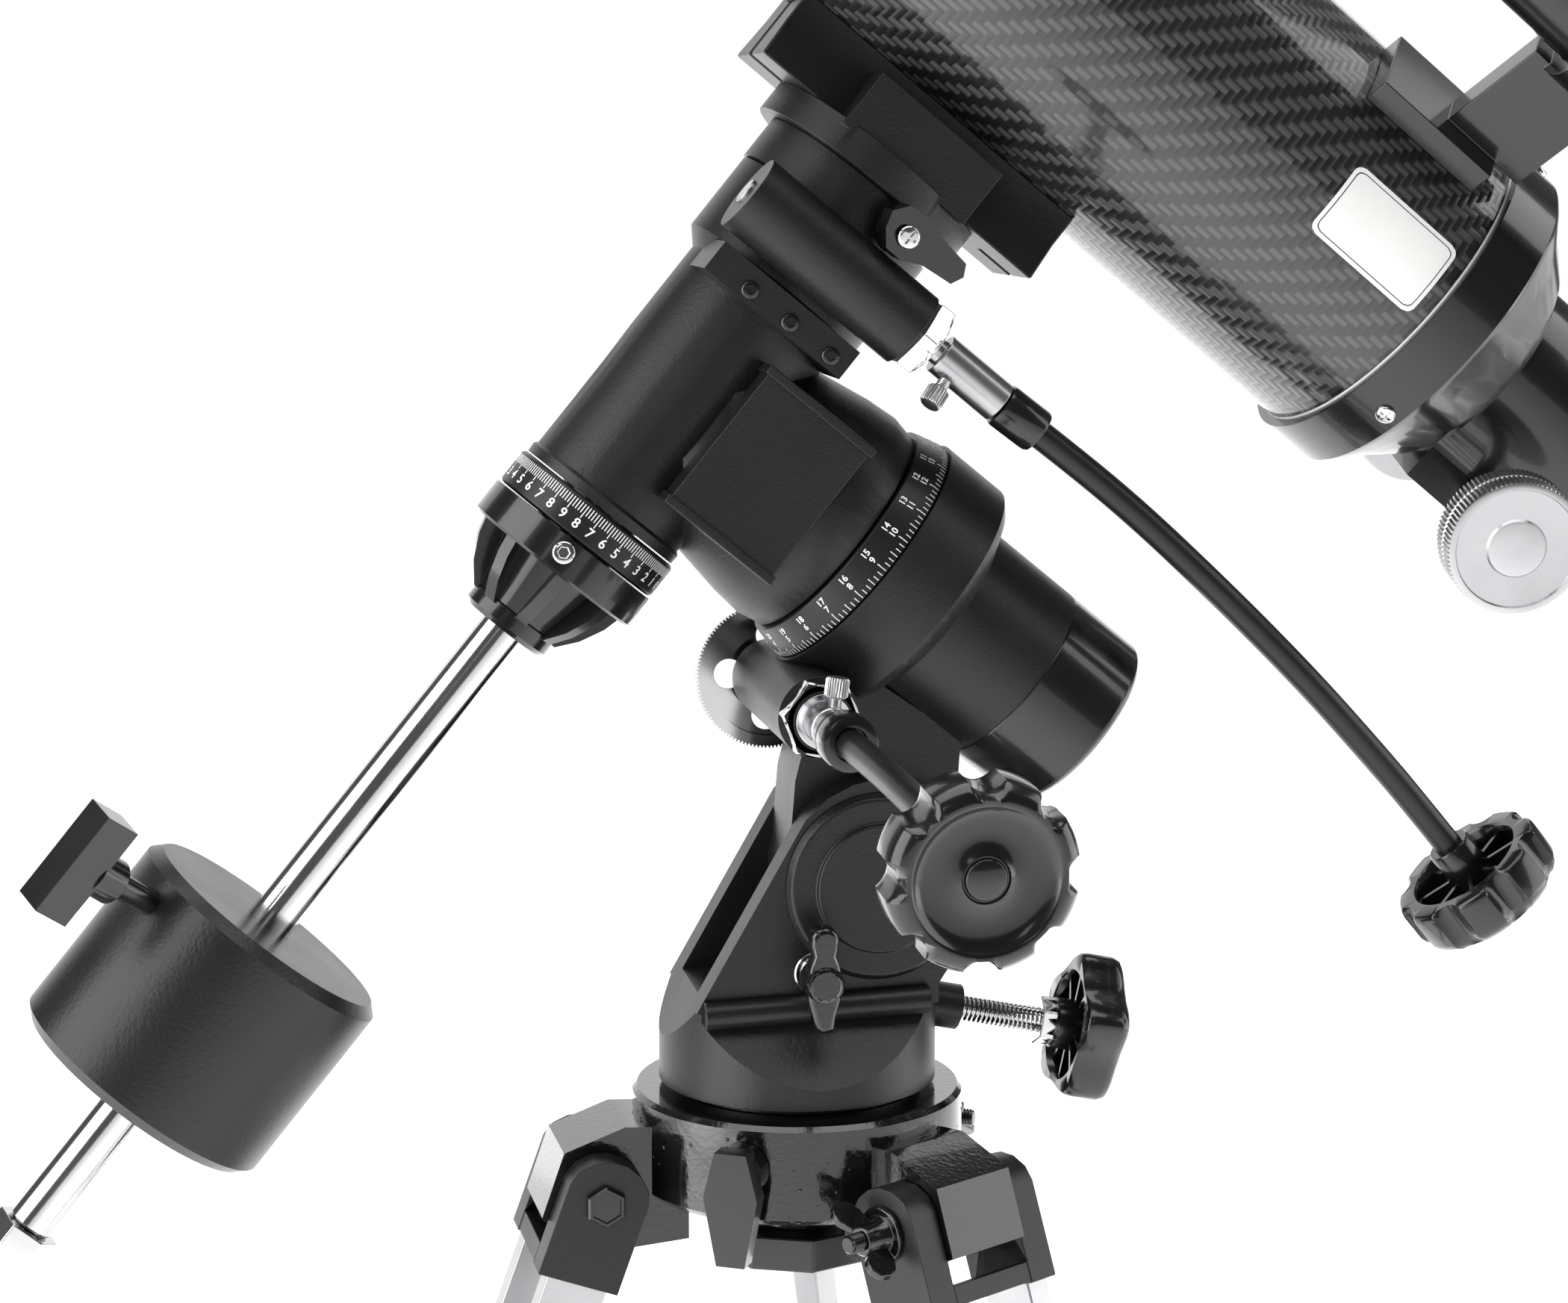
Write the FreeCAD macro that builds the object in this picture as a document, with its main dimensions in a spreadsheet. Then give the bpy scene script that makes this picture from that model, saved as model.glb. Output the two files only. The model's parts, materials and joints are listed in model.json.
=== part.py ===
"""A refracting telescope on a German equatorial mount and a folding tripod.

Millimetres, +Z up. The origin is on the floor, under the azimuth axis. The meridian plane of the
mount is the XZ plane: the polar axis rises towards -X, and the eyepiece end of the tube points
down towards +X. The tripod stands with its legs spread and its lower legs pushed in.

Three frames carry the sub-parts: the floor frame, the polar frame (its Z runs up the polar axis,
its X along the declination axis) and the declination frame (its Z runs up the declination axis).
"""
import FreeCAD, Part
import math
import os
import re

import Sketcher
from FreeCAD import Placement, Rotation, Vector

doc = FreeCAD.newDocument("telescope")

# ---------------------------------------------------------------- driving dimensions
SIZES = {
    # tripod
    "hub_height": 700,
    "hub_radius": 52,
    "hub_thick": 31,
    "hub_bore": 6.2,
    "lug_reach": 84,
    "lug_half": 15.5,
    "leg_pivot_radius": 66,
    "leg_pivot_drop": 28,
    "leg_angle": 20,
    "leg_first": 182,
    "leg_bolt_radius": 4,
    "ear_gap": 0.4,
    "ear_thick": 10.6,
    "rail_start": 24,
    "rail_end": 520,
    "rail_depth": 19.4,
    "rail_width": 8.6,
    "rail_wall": 1.6,
    "collar_start": 486,
    "collar_end": 528,
    "lower_leg_start": 250,
    "lower_leg_depth": 15,
    "lower_leg_width": 31,
    "foot_length": 46,
    "foot_radius": 13,
    "leg_knob_radius": 14,
    "brace_station": 330,
    "brace_offset": 19,
    "brace_slope": 30,
    "brace_width": 12,
    "brace_thick": 7,
    "brace_pin_radius": 3,
    "tray_pivot_radius": 24,
    "tray_rise": 15,
    "tray_thick": 3,
    "tray_reach": 92,
    "eyepiece_hole": 16,
    # azimuth and latitude
    "base_radius": 43.5,
    "base_gap": 2.6,
    "base_top": 30,
    "fork_half": 26,
    "fork_slot": 15,
    "latitude": 39.3,
    "latitude_x": 20.5,
    "latitude_z": 67.6,
    "pivot_disc_radius": 31.6,
    "pivot_bolt_radius": 6,
    "latitude_screw_radius": 4.2,
    "latitude_knob_radius": 24,
    # polar axis; stations run up the axis from where it meets the declination axis
    "centre_x": -36.2,
    "centre_z": 213.7,
    "polar_big_radius": 41.8,
    "polar_tube_radius": 30.8,
    "polar_neck_radius": 30,
    "polar_spindle": 14,
    "ring_upper": -61.8,
    "ring_lower": -72.8,
    "ring_top_radius": 38.6,
    "ring_low_radius": 40.7,
    "polar_step": -97.8,
    "cap_start": -134,
    "polar_end": -162.7,
    "worm_station": -84,
    "worm_drop": -48,
    "worm_housing_radius": 12.5,
    "worm_gear_radius": 23.7,
    "shaft_radius": 4,
    "cable_radius": 4.4,
    "knob_radius": 25,
    "knob_thick": 17,
    # declination axis; stations run up the axis
    "dec_circle_top": -39.5,
    "dec_circle_low": -51.6,
    "dec_circle_radius": 28.8,
    "nose_collar_low": -62.9,
    "nose_tip": -86.5,
    "nose_tip_radius": 14.8,
    "weight_shaft_radius": 7.2,
    "weight_shaft_end": -318,
    "weight_top": -201.3,
    "weight_bottom": -265.3,
    "weight_radius": 42.7,
    "dec_neck_radius": 27,
    "dec_collar_radius": 31.5,
    "head_ring_radius": 32,
    "head_ring_top": 85,
    "saddle_radius": 37,
    "saddle_floor": 95,
    "saddle_top": 112,
    "dec_worm_station": 59,
    "dec_worm_out": -36,
    # optical tube; stations run up the tube from the declination axis
    "tube_offset": 169.4,
    "tube_radius": 54,
    "tube_wall": 1.5,
    "tube_rear": -154,
    "tube_front": 300,
    "dew_front": 420,
    "lens_radius": 51,
    "rear_cell_radius": 57,
    "focuser_radius": 33,
    "focuser_end": -250,
    "drawtube_radius": 25.4,
    "drawtube_end": -284,
    "eyepiece_bore": 15.95,
    "focus_station": -214,
    "focus_drop": -30,
    "focus_knob_radius": 21,
    "finder_out": 114,
    "finder_radius": 14,
}
sheet = doc.addObject("Spreadsheet::Sheet", "Sizes")
for row, (name, size) in enumerate(SIZES.items(), start=1):
    sheet.set("A%d" % row, name)
    sheet.set("B%d" % row, str(size))
    sheet.setAlias("B%d" % row, name)
doc.recompute()


# ---------------------------------------------------------------- helpers
def bound(text):
    """An expression with every size name replaced by its cell."""
    return re.sub(r"[a-z][a-z_]*", lambda m: "Sizes." + m.group() if m.group() in SIZES else m.group(),
                  str(text))


def value(text):
    return float(sheet.evalExpression(bound(text)))


def bind(thing, **properties):
    """Ties properties to expressions of the sheet; Placement__Base__x stands for Placement.Base.x."""
    for name, text in properties.items():
        thing.setExpression(name.replace("__", "."), bound(text))
    return thing


def cylinder(name, radius, length, place=Placement()):
    thing = doc.addObject("Part::Cylinder", name)
    bind(thing, Radius=radius, Height=length)
    thing.Placement = place
    return thing


def cone(name, radius_low, radius_top, length, place=Placement()):
    thing = doc.addObject("Part::Cone", name)
    bind(thing, Radius1=radius_low, Radius2=radius_top, Height=length)
    thing.Placement = place
    return thing


def block(name, low, span, place=Placement()):
    """A box from its low corner, given in the frame of place."""
    thing = doc.addObject("Part::Box", name)
    bind(thing, Length=span[0], Width=span[1], Height=span[2])
    thing.Placement = place * shift(*[value(v) for v in low])
    return thing


def fuse(name, things):
    joined = doc.addObject("Part::MultiFuse", name)
    joined.Shapes = things
    joined.Refine = True
    return joined


def cut(name, base, *tools):
    """base less the tools; several tools are fused first."""
    tool = tools[0] if len(tools) == 1 else fuse(name + "Tools", list(tools))
    result = doc.addObject("Part::Cut", name)
    result.Base = base
    result.Tool = tool
    result.Refine = True
    return result


def group(name, things):
    """Separate solids of one sub-part."""
    result = doc.addObject("Part::Compound", name)
    result.Links = things
    return result


def outline(sketch, points):
    """A closed outline of straight edges whose corners are tied to the sheet."""
    corners = [(value(x), value(y)) for x, y in points]
    count = len(points)
    for i, (x, y) in enumerate(corners):
        nx, ny = corners[(i + 1) % count]
        sketch.addGeometry(Part.LineSegment(Vector(x, y, 0), Vector(nx, ny, 0)), False)
    for i in range(count):
        sketch.addConstraint(Sketcher.Constraint("Coincident", i, 2, (i + 1) % count, 1))
    for i, texts in enumerate(points):
        for kind, text, size in zip(("DistanceX", "DistanceY"), texts, corners[i]):
            index = sketch.addConstraint(Sketcher.Constraint(kind, -1, 1, i, 1, size))
            if bound(text) != str(text):
                sketch.setExpression("Constraints[%d]" % index, bound(text))


def sketch_on(body, role, name):
    sketch = body.newObject("Sketcher::SketchObject", name)
    plane = [f for f in body.Origin.OriginFeatures if f.Role == role][0]
    sketch.AttachmentSupport = [(plane, "")]
    sketch.MapMode = "FlatFace"
    return sketch


def turned(name, points, place=Placement()):
    """A body of revolution about its Z; points are (radius, height)."""
    body = doc.addObject("PartDesign::Body", name)
    sketch = sketch_on(body, "XZ_Plane", name + "Outline")
    outline(sketch, points)
    turn = body.newObject("PartDesign::Revolution", name + "Turn")
    turn.Profile = sketch
    turn.ReferenceAxis = (sketch, ["V_Axis"])
    turn.Angle = 360
    sketch.Visibility = False
    body.Placement = place
    return body


def padded(name, points, thick, place=Placement()):
    """A plate of straight-edged outline, its thickness centred on the XY plane of place."""
    body = doc.addObject("PartDesign::Body", name)
    sketch = sketch_on(body, "XY_Plane", name + "Outline")
    outline(sketch, points)
    pad = body.newObject("PartDesign::Pad", name + "Pad")
    pad.Profile = sketch
    pad.SideType = "Symmetric"
    bind(pad, Length=thick)
    body.Placement = place
    return body


def along(origin, z_axis, x_axis=Vector()):
    """A placement at origin whose Z runs along z_axis."""
    return Placement(origin, Rotation(x_axis, Vector(), z_axis, "ZXY"))


def shift(x, y, z):
    """A placement that only moves."""
    return Placement(Vector(x, y, z), Rotation())


def lobed_knob(name, radius, lobes, thick, place, dip=0.16):
    """A round grip with rounded lobes about its rim."""
    lobe = dip * radius
    pieces = [cylinder(name + "Core", radius - 1.15 * lobe, thick, place)]
    for i in range(lobes):
        turn = Placement(Vector(), Rotation(Vector(0, 0, 1), 360 * i / lobes))
        out = shift(radius - 1.45 * lobe, 0, 0)
        pieces.append(cylinder("%sLobe%d" % (name, i), 1.45 * lobe, thick, place * turn * out))
    return fuse(name + "Grip", pieces)


nodes = []


def keep(thing, label):
    """Marks a finished sub-part; its label names its file."""
    thing.Label = label
    nodes.append(thing)
    return thing


# ---------------------------------------------------------------- frames
Z_UP = Vector(0, 0, 1)
hub_z = value("hub_height")
tilt = value("latitude")
polar_dir = Vector(-math.cos(math.radians(tilt)), 0, math.sin(math.radians(tilt)))
dec_dir = Vector(math.sin(math.radians(tilt)), 0, math.cos(math.radians(tilt)))
centre = Vector(value("centre_x"), 0, hub_z + value("centre_z"))


def polar(station=0, side=0, out=0):
    """Polar frame at a station: side runs along the declination axis, out along Y."""
    return along(centre + polar_dir * value(station) + dec_dir * value(side) + Vector(0, value(out), 0),
                 polar_dir, dec_dir)


def dec(station=0):
    """Declination frame: its X points down the polar axis."""
    return along(centre + dec_dir * value(station), dec_dir, polar_dir * -1)


def tube_frame(station=0):
    return polar(station, "tube_offset")


# ---------------------------------------------------------------- tripod hub
hub_top = shift(0, 0, hub_z)
hub_pieces = [turned("HubRing", [("hub_bore", "-hub_thick"), ("hub_radius-2", "-hub_thick"),
                                 ("hub_radius", "-hub_thick+2"), ("hub_radius", "-1.5"),
                                 ("hub_radius-1.5", 0), ("hub_bore", 0)], hub_top)]
LEGS = (1, 2, 3)


def leg_radial(i):
    angle = math.radians(value("leg_first") + 120 * (i - 1))
    return Vector(math.cos(angle), math.sin(angle), 0)


def leg_across(i):
    """The direction of a leg's pivot bolt."""
    radial = leg_radial(i)
    return Vector(radial.y, -radial.x, 0)


for i in LEGS:
    lug_frame = along(Vector(0, 0, hub_z), leg_across(i), leg_radial(i))
    lug = padded("Lug%d" % i, [("hub_radius-14", "-8"), ("hub_radius-14", "-44"), ("leg_pivot_radius-6",
            "-46"),
                               ("lug_reach", "-34"), ("lug_reach-7", "-14"), ("hub_radius+6", "-7")],
                 "2*lug_half", lug_frame)
    hole = cylinder("LugHole%d" % i, "leg_bolt_radius", "2*lug_half+2",
                    lug_frame * shift(value("leg_pivot_radius"), -value("leg_pivot_drop"),
                                      -value("lug_half") - 1))
    hub_pieces.append(cut("LugBored%d" % i, lug, hole))
lock_dir = Vector(math.cos(math.radians(241)), math.sin(math.radians(241)), 0)
lock_frame = along(lock_dir * (value("hub_radius") + 0.4) + Vector(0, 0, hub_z - 13), lock_dir, Z_UP * -1)
lock_bore = cylinder("AzimuthLockBore", 3.05, 14, lock_frame * shift(0, 0, -9))
keep(cut("TripodHub", fuse("HubSolid", hub_pieces), lock_bore), "tripod_hub")

# the central bolt that holds the mount, with the octagonal hand nut under the hub
nut_frame = shift(0, 0, hub_z - 55)
octagon = [("26*cos(%d)" % a, "26*sin(%d)" % a) for a in range(0, 360, 45)]
hand_nut = padded("HandNut", octagon, 11, nut_frame * shift(0, 0, 5.5))
nut_neck = turned("NutNeck", [(0, 10), (16, 10), (13, 23.6), (0, 23.6)], nut_frame)
nut_stem = cylinder("NutStem", "hub_bore-0.05", 22, nut_frame * shift(0, 0, 20))
keep(fuse("MountBolt", [hand_nut, nut_neck, nut_stem]), "mount_bolt")

# the azimuth lock: a wedge-shaped lever on a short screw in the hub's rim
lock_boss = cylinder("AzimuthLockBoss", 8, 7, lock_frame)
lock_stem = cylinder("AzimuthLockStem", 3, 12, lock_frame * shift(0, 0, -8))
lock_lever = padded("AzimuthLockLever", [("-8", "-5"), ("-8", "5"), ("6", "8.5"), ("27", "4.5"), ("27",
        "-4.5"), ("6", "-8.5")],
                    7, lock_frame * shift(0, 0, 9.5))
keep(fuse("AzimuthLock", [lock_boss, lock_stem, lock_lever]), "azimuth_lock")

# ---------------------------------------------------------------- legs
pivot_z = hub_z - value("leg_pivot_drop")
ear_inner = value("lug_half") + value("ear_gap")
ear_mid = ear_inner + value("ear_thick") / 2
rail_mid = ear_mid
leg_length = pivot_z / math.cos(math.radians(value("leg_angle")))
bolts = []


def leg_frame(i, station=0):
    """At a station down the leg: X points outwards, Y along the pivot bolt, Z up the leg."""
    lean = math.radians(value("leg_angle"))
    radial = leg_radial(i)
    up = Z_UP * math.cos(lean) - radial * math.sin(lean)
    pivot = radial * value("leg_pivot_radius") + Z_UP * pivot_z
    return along(pivot - up * value(station), up, radial * math.cos(lean) + Z_UP * math.sin(lean))


def brace_joint(i):
    """Where the brace is pinned to its leg."""
    return leg_frame(i, "brace_station").multVec(Vector(-value("brace_offset"), 0, 0))


flat = Placement(Vector(), Rotation(Vector(1, 0, 0), 90))
EAR = [(13, -26), (13, 3.5), (11.4, 8), (7.5, 11.7), (2.6, 13.6), (-2.6, 13.6), (-7.5, 11.7), (-11.4, 8),
       (-13, 3.5), (-13, -26)]
for i in LEGS:
    frame = leg_frame(i)
    ears = []
    for side in (-1, 1):
        ear = padded("Ear%d%d" % (i, side), EAR,
                     "ear_thick", frame * shift(0, side * ear_mid, 0) * flat)
        socket = cylinder("EarHole%d%d" % (i, side), "leg_bolt_radius+0.05", "ear_thick+2",
                          frame * along(Vector(0, side * ear_mid - value("ear_thick") / 2 - 1, 0),
                                        Vector(0, 1, 0)))
        bed = block("EarBed%d%d" % (i, side), (-value("rail_depth") / 2,
                                               side * rail_mid - value("rail_width") / 2, -30),
                    ("rail_depth", "rail_width", "30-rail_start+6"), frame)
        ears.append(cut("EarCut%d%d" % (i, side), ear, socket, bed))
    web = block("EarWeb%d" % i, (8.2, -ear_inner - 0.8, -25.5), (4.6, 2 * ear_inner + 1.6, 6), frame)
    keep(fuse("LegBracket%d" % i, ears + [web]), "leg_bracket_%d" % i)

    rails = []
    for side in (-1, 1):
        low = (-value("rail_depth") / 2, side * rail_mid - value("rail_width") / 2, -value("rail_end"))
        bar = block("Rail%d%d" % (i, side), low, ("rail_depth", "rail_width", "rail_end-rail_start+6"),
                    frame)
        core = block("RailCore%d%d" % (i, side), (low[0] + value("rail_wall"), low[1] + value("rail_wall"),
                                                  low[2] - 1),
                     ("rail_depth-2*rail_wall", "rail_width-2*rail_wall", "rail_end-rail_start-6"), frame)
        rails.append(cut("RailTube%d%d" % (i, side), bar, core))
    keep(group("LegRails%d" % i, rails), "leg_rails_%d" % i)

    # the clip that carries the brace, and the collar that guides and clamps the lower leg
    reach = ear_mid + value("ear_thick") / 2
    inner = -value("rail_depth") / 2
    clip_z = -value("brace_station")
    clip = block("Clip%d" % i, (inner - 3, -reach, clip_z - 18), (3, 2 * reach, 36), frame)
    clip_ears = [block("ClipEar%d%d" % (i, side), (inner - 15, side * 8.6 - 1.6, clip_z - 8), (13, 3.2, 16),
                       frame)
                 for side in (-1, 1)]
    clip_pin = cylinder("ClipPin%d" % i, "brace_pin_radius", 20.4,
                        frame * along(Vector(-value("brace_offset"), -10.2, clip_z), Vector(0, 1, 0)))
    brace_clip = fuse("BraceClip%d" % i, [clip, clip_pin] + clip_ears)

    shell = block("Collar%d" % i, (inner - 4, -reach - 3, -value("collar_end")),
                  ("rail_depth+8", 2 * reach + 6, "collar_end-collar_start"), frame)
    throat = block("CollarThroat%d" % i, (-value("lower_leg_depth") / 2 - 0.05,
                                          -value("lower_leg_width") / 2 - 0.05, -value("collar_end") - 1),
                   ("lower_leg_depth+0.1", "lower_leg_width+0.1", 50), frame)
    beds = [block("CollarBed%d%d" % (i, side), (inner, side * rail_mid - value("rail_width") / 2,
                                                -value("rail_end")),
                  ("rail_depth", "rail_width", 50), frame) for side in (-1, 1)]
    knob_axis = frame * along(Vector(value("rail_depth") / 2 + 4, 0, -value("collar_start") - 22),
                              Vector(1, 0, 0))
    screw_hole = cylinder("CollarHole%d" % i, "3.05", 20, knob_axis * shift(0, 0, -8))
    collar = cut("CollarBored%d" % i, shell, throat, screw_hole, *beds)
    keep(group("LegCollar%d" % i, [collar, brace_clip]), "leg_collar_%d" % i)

    stem = cylinder("LegKnobStem%d" % i, 3, 12, knob_axis * shift(0, 0, -5.8))
    hub_of_knob = cylinder("LegKnobHub%d" % i, 7, 6, knob_axis * shift(0, 0, 0.4))
    grip = lobed_knob("LegKnob%d" % i, value("leg_knob_radius"), 3, 9, knob_axis * shift(0, 0, 6), 0.3)
    keep(fuse("LegKnobWhole%d" % i, [stem, hub_of_knob, grip]), "leg_knob_%d" % i)

    # the sliding lower leg and its rubber foot
    lower = block("LowerLeg%d" % i, (-value("lower_leg_depth") / 2, -value("lower_leg_width") / 2,
                                     -leg_length + value("foot_length") - 14),
                  ("lower_leg_depth", "lower_leg_width",
                   leg_length - value("lower_leg_start + foot_length - 14")), frame)
    hollow = block("LowerLegHollow%d" % i, (-value("lower_leg_depth") / 2 + 1.6,
                                            -value("lower_leg_width") / 2 + 1.6, -leg_length),
                   ("lower_leg_depth-3.2", "lower_leg_width-3.2",
                    leg_length - value("lower_leg_start") + 5), frame)
    keep(cut("LowerLegTube%d" % i, lower, hollow), "lower_leg_%d" % i)

    ground = leg_frame(i).multVec(Vector(0, 0, -leg_length))
    sole = shift(ground.x, ground.y, 0)
    pad_foot = turned("FootPad%d" % i, [(0, 0), ("foot_radius", 0), ("foot_radius+1", 3), ("foot_radius-1",
            10), (0, 12)], sole)
    plug = block("FootPlug%d" % i, (-value("lower_leg_depth") / 2 - 2.4,
                                    -value("lower_leg_width") / 2 - 2.4, -leg_length + 7),
                 ("lower_leg_depth+4.8", "lower_leg_width+4.8", "foot_length-7"), frame)
    socket = block("FootSocket%d" % i, (-value("lower_leg_depth") / 2, -value("lower_leg_width") / 2,
                                        -leg_length + value("foot_length") - 14),
                   ("lower_leg_depth", "lower_leg_width", 30), frame)
    keep(cut("Foot%d" % i, fuse("FootWhole%d" % i, [pad_foot, plug]), socket), "foot_%d" % i)

    # a brace from the leg's clip up to the tray, its inner end loose between the tray's ears
    slope = math.radians(value("brace_slope"))
    start = brace_joint(i)
    run = (math.hypot(start.x, start.y) - value("tray_pivot_radius")) / math.cos(slope)
    inward = leg_radial(i) * -1
    brace_dir = inward * math.cos(slope) + Z_UP * math.sin(slope)
    brace_frame = along(start, leg_across(i), brace_dir)
    half = value("brace_width") / 2
    arm = padded("Arm%d" % i, [(0, -half), (run, -half), (run, half), (0, half)], "brace_thick",
                 brace_frame)
    back = shift(0, 0, -value("brace_thick") / 2)
    ends = [cylinder("ArmEnd%d%d" % (i, k), "brace_width/2", "brace_thick",
                     brace_frame * shift(run * k, 0, 0) * back)
            for k in (0, 1)]
    eye = cylinder("ArmEye%d" % i, "brace_pin_radius+0.05", "brace_thick+2",
                   brace_frame * shift(0, 0, -1) * back)
    keep(cut("Brace%d" % i, fuse("BraceArm%d" % i, [arm] + ends), eye), "brace_%d" % i)

    # the bolt through the lug and both ears, a hexagon head on one side and a wing nut on the other
    bolt_frame = frame * along(Vector(0, reach + 3.4, 0), Vector(0, -1, 0))
    hexagon = [("6*cos(%d)" % a, "6*sin(%d)" % a) for a in range(0, 360, 60)]
    head = padded("BoltHead%d" % i, hexagon, 3.4, bolt_frame * shift(0, 0, 1.7))
    shank = cylinder("BoltShank%d" % i, "leg_bolt_radius", 2 * reach + 14, bolt_frame)
    wing_frame = bolt_frame * shift(0, 0, 2 * reach + 3.4)
    washer = cylinder("Washer%d" % i, 7.5, 1.4, wing_frame)
    wing_hub = cone("WingHub%d" % i, 7, 5.4, 8, wing_frame * shift(0, 0, 1.4))
    wing = padded("Wing%d" % i, [(-8, 3), (-16, 10), (-16, 17), (-9, 16), (-3, 8), (3, 8), (9, 16), (16,
            17), (16, 10), (8, 3)], 3.6,
                  wing_frame * along(Vector(), Vector(0, 1, 0), Vector(1, 0, 0)) * Placement(Vector(),
                          Rotation(Vector(1, 0, 0), 180)))
    bolts.append(fuse("LegBolt%d" % i, [head, shank, washer, wing_hub, wing]))
keep(group("LegBolts", bolts), "leg_bolts")

# ---------------------------------------------------------------- accessory tray
tray_pivot_z = start.z + run * math.sin(slope)
tray_top = shift(0, 0, tray_pivot_z + value("tray_rise"))
plates = [cylinder("TrayDisc", 42, "tray_thick", tray_top)]
holes = []
for i in LEGS:
    angle = value("leg_first") + 120 * (i - 1) + 60
    turn = tray_top * Placement(Vector(), Rotation(Z_UP, angle))
    end = turn * shift(value("tray_reach") - 22, 0, 0)
    plates.append(block("TrayArm%d" % i, (0, -22, 0), ("tray_reach-22", 44, "tray_thick"), turn))
    plates.append(cylinder("TrayLobe%d" % i, 22, "tray_thick", end))
    holes.append(cylinder("EyepieceHole%d" % i, "eyepiece_hole", "tray_thick+2", end * shift(0, 0, -1)))
    across = Placement(Vector(), Rotation(Z_UP, value("leg_first") + 120 * (i - 1)))
    for side in (-1, 1):
        low = (value("tray_pivot_radius") - 7, side * 6.3 - 1.5, -value("tray_rise") - 7)
        plates.append(block("TrayEar%d%d" % (i, side), low, (14, 3, "tray_rise+7.5"), tray_top * across))
keep(cut("Tray", fuse("TrayPlate", plates), *holes), "accessory_tray")

# ---------------------------------------------------------------- azimuth base and fork
side_on = Rotation(Vector(1, 0, 0), 90)
hinge_x = value("latitude_x")
hinge_z = value("latitude_z")
base_disc = turned("BaseDisc", [(0, -12), ("hub_bore-0.2", -12), ("hub_bore-0.2", 0.3), ("base_radius-5",
        0.3), ("base_radius-5", "base_gap"),
                                ("base_radius", "base_gap"), ("base_radius", "base_top"),
                                ("base_radius-3", "base_top+3"), (0, "base_top+3")], hub_top)
FORK = [(-36.4, "base_top"), (-2.5, 89), (4.5, 95.5), (12.5, 99.5), ("latitude_x", 101),
        ("latitude_x+22", 92),
        ("latitude_x+31", "latitude_z"), ("latitude_x+25.5", 46), (39.5, 36), (39.5, "base_top")]
fork = padded("Fork", FORK, "2*fork_half", Placement(Vector(0, 0, hub_z), side_on))
slot = block("ForkSlot", (-60, "-fork_slot", 34), (130, "2*fork_slot", 90), hub_top)
slope_cut = padded("SlopeCut", [(-60, -10.2), (-25, 49.3), (-60, 49.3)], 120,
                   Placement(Vector(0, 0, hub_z), side_on))
facets = []
for side in (-1, 1):
    face = [(side * 60, -8.3), (side * 26, 27.1), (side * 26, 60), (side * 60, 60)]
    facets.append(padded("Facet%d" % side, face, 120,
                         along(Vector(0, 0, hub_z), Vector(1, 0, 0), Vector(0, 1, 0))))
pit = block("ForkPit", (-14, "-fork_slot", 17), (52, "2*fork_slot", 20), hub_top)
hinge_frame = Placement(Vector(hinge_x, 0, hub_z + hinge_z), side_on)
hinge_hole = cylinder("HingeHole", "pivot_bolt_radius", 100, hinge_frame * shift(0, 0, -50))
screw_dir = Vector(math.cos(math.radians(12)), 0, -math.sin(math.radians(12)))
screw_mouth = Vector(52, 0, hub_z + 21.1)
boss = cylinder("ScrewBoss", 7.2, 24, along(screw_mouth - screw_dir * 24, screw_dir))
screw_hole = cylinder("ScrewHole", "latitude_screw_radius+0.05", 60,
                      along(screw_mouth - screw_dir * 50, screw_dir))
rib = cylinder("FrontRib", 4.3, 70, along(Vector(-34, -27.6, hub_z + 29.6), Vector(1, 0, 0.03)))
lock_frame = along(Vector(0.4, -value("fork_half"), hub_z + 41.5), Vector(0, -1, 0))
lock_hole = cylinder("LockHole", 3.05, 12, lock_frame * shift(0, 0, -11))
cheeks = cut("ForkOpen", fuse("ForkSolid", [fork, boss, rib]), slot, pit, hinge_hole, screw_hole, lock_hole)
keep(fuse("MountBase", [cut("BaseCut", base_disc, pit, screw_hole, slope_cut, *facets), cheeks]),
     "mount_base")

# the bolt of the latitude hinge, with a wide disc each side
disc_pieces = [cylinder("HingeBolt", "pivot_bolt_radius", "2*fork_half",
                        hinge_frame * shift(0, 0, -value("fork_half")))]
for side in (-1, 1):
    face = Placement(Vector(hinge_x, -side * value("fork_half"), hub_z + hinge_z),
                     Rotation(Vector(1, 0, 0), 90 * side))
    disc_pieces.append(turned("HingeDisc%d" % side,
                              [(0, 0), ("pivot_disc_radius-2", 0), ("pivot_disc_radius-4", 3),
                                                     (20, 3), (20, 5), (0, 5)], face))
keep(fuse("LatitudeBolt", disc_pieces), "latitude_bolt")

# the latitude screw and its five-lobed knob
knob_seat = along(screw_mouth + screw_dir * 31, screw_dir)
latitude_stem = cylinder("LatitudeStem", "latitude_screw_radius", 56,
                         along(screw_mouth - screw_dir * 24, screw_dir))
latitude_hub = cylinder("LatitudeHub", 8, 10, knob_seat)
latitude_grip = lobed_knob("LatitudeKnob", value("latitude_knob_radius"), 5, 15, knob_seat * shift(0, 0, 5),
                           0.24)
keep(fuse("LatitudeScrew", [latitude_stem, latitude_hub, latitude_grip]), "latitude_screw")

# the latitude lock: a bar through a small hub
lock_stem = cylinder("LatitudeLockStem", 3, 22, lock_frame * shift(0, 0, -8))
lock_hub = cylinder("LatitudeLockHub", 5.4, 9, lock_frame * shift(0, 0, 9))
lock_bar = cylinder("LatitudeLockBar", 3.4, 32, lock_frame * Placement(Vector(0, -16, 15),
        Rotation(Vector(1, 0, 0), -90)))
keep(fuse("LatitudeLock", [lock_stem, lock_hub, lock_bar]), "latitude_lock")

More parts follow.
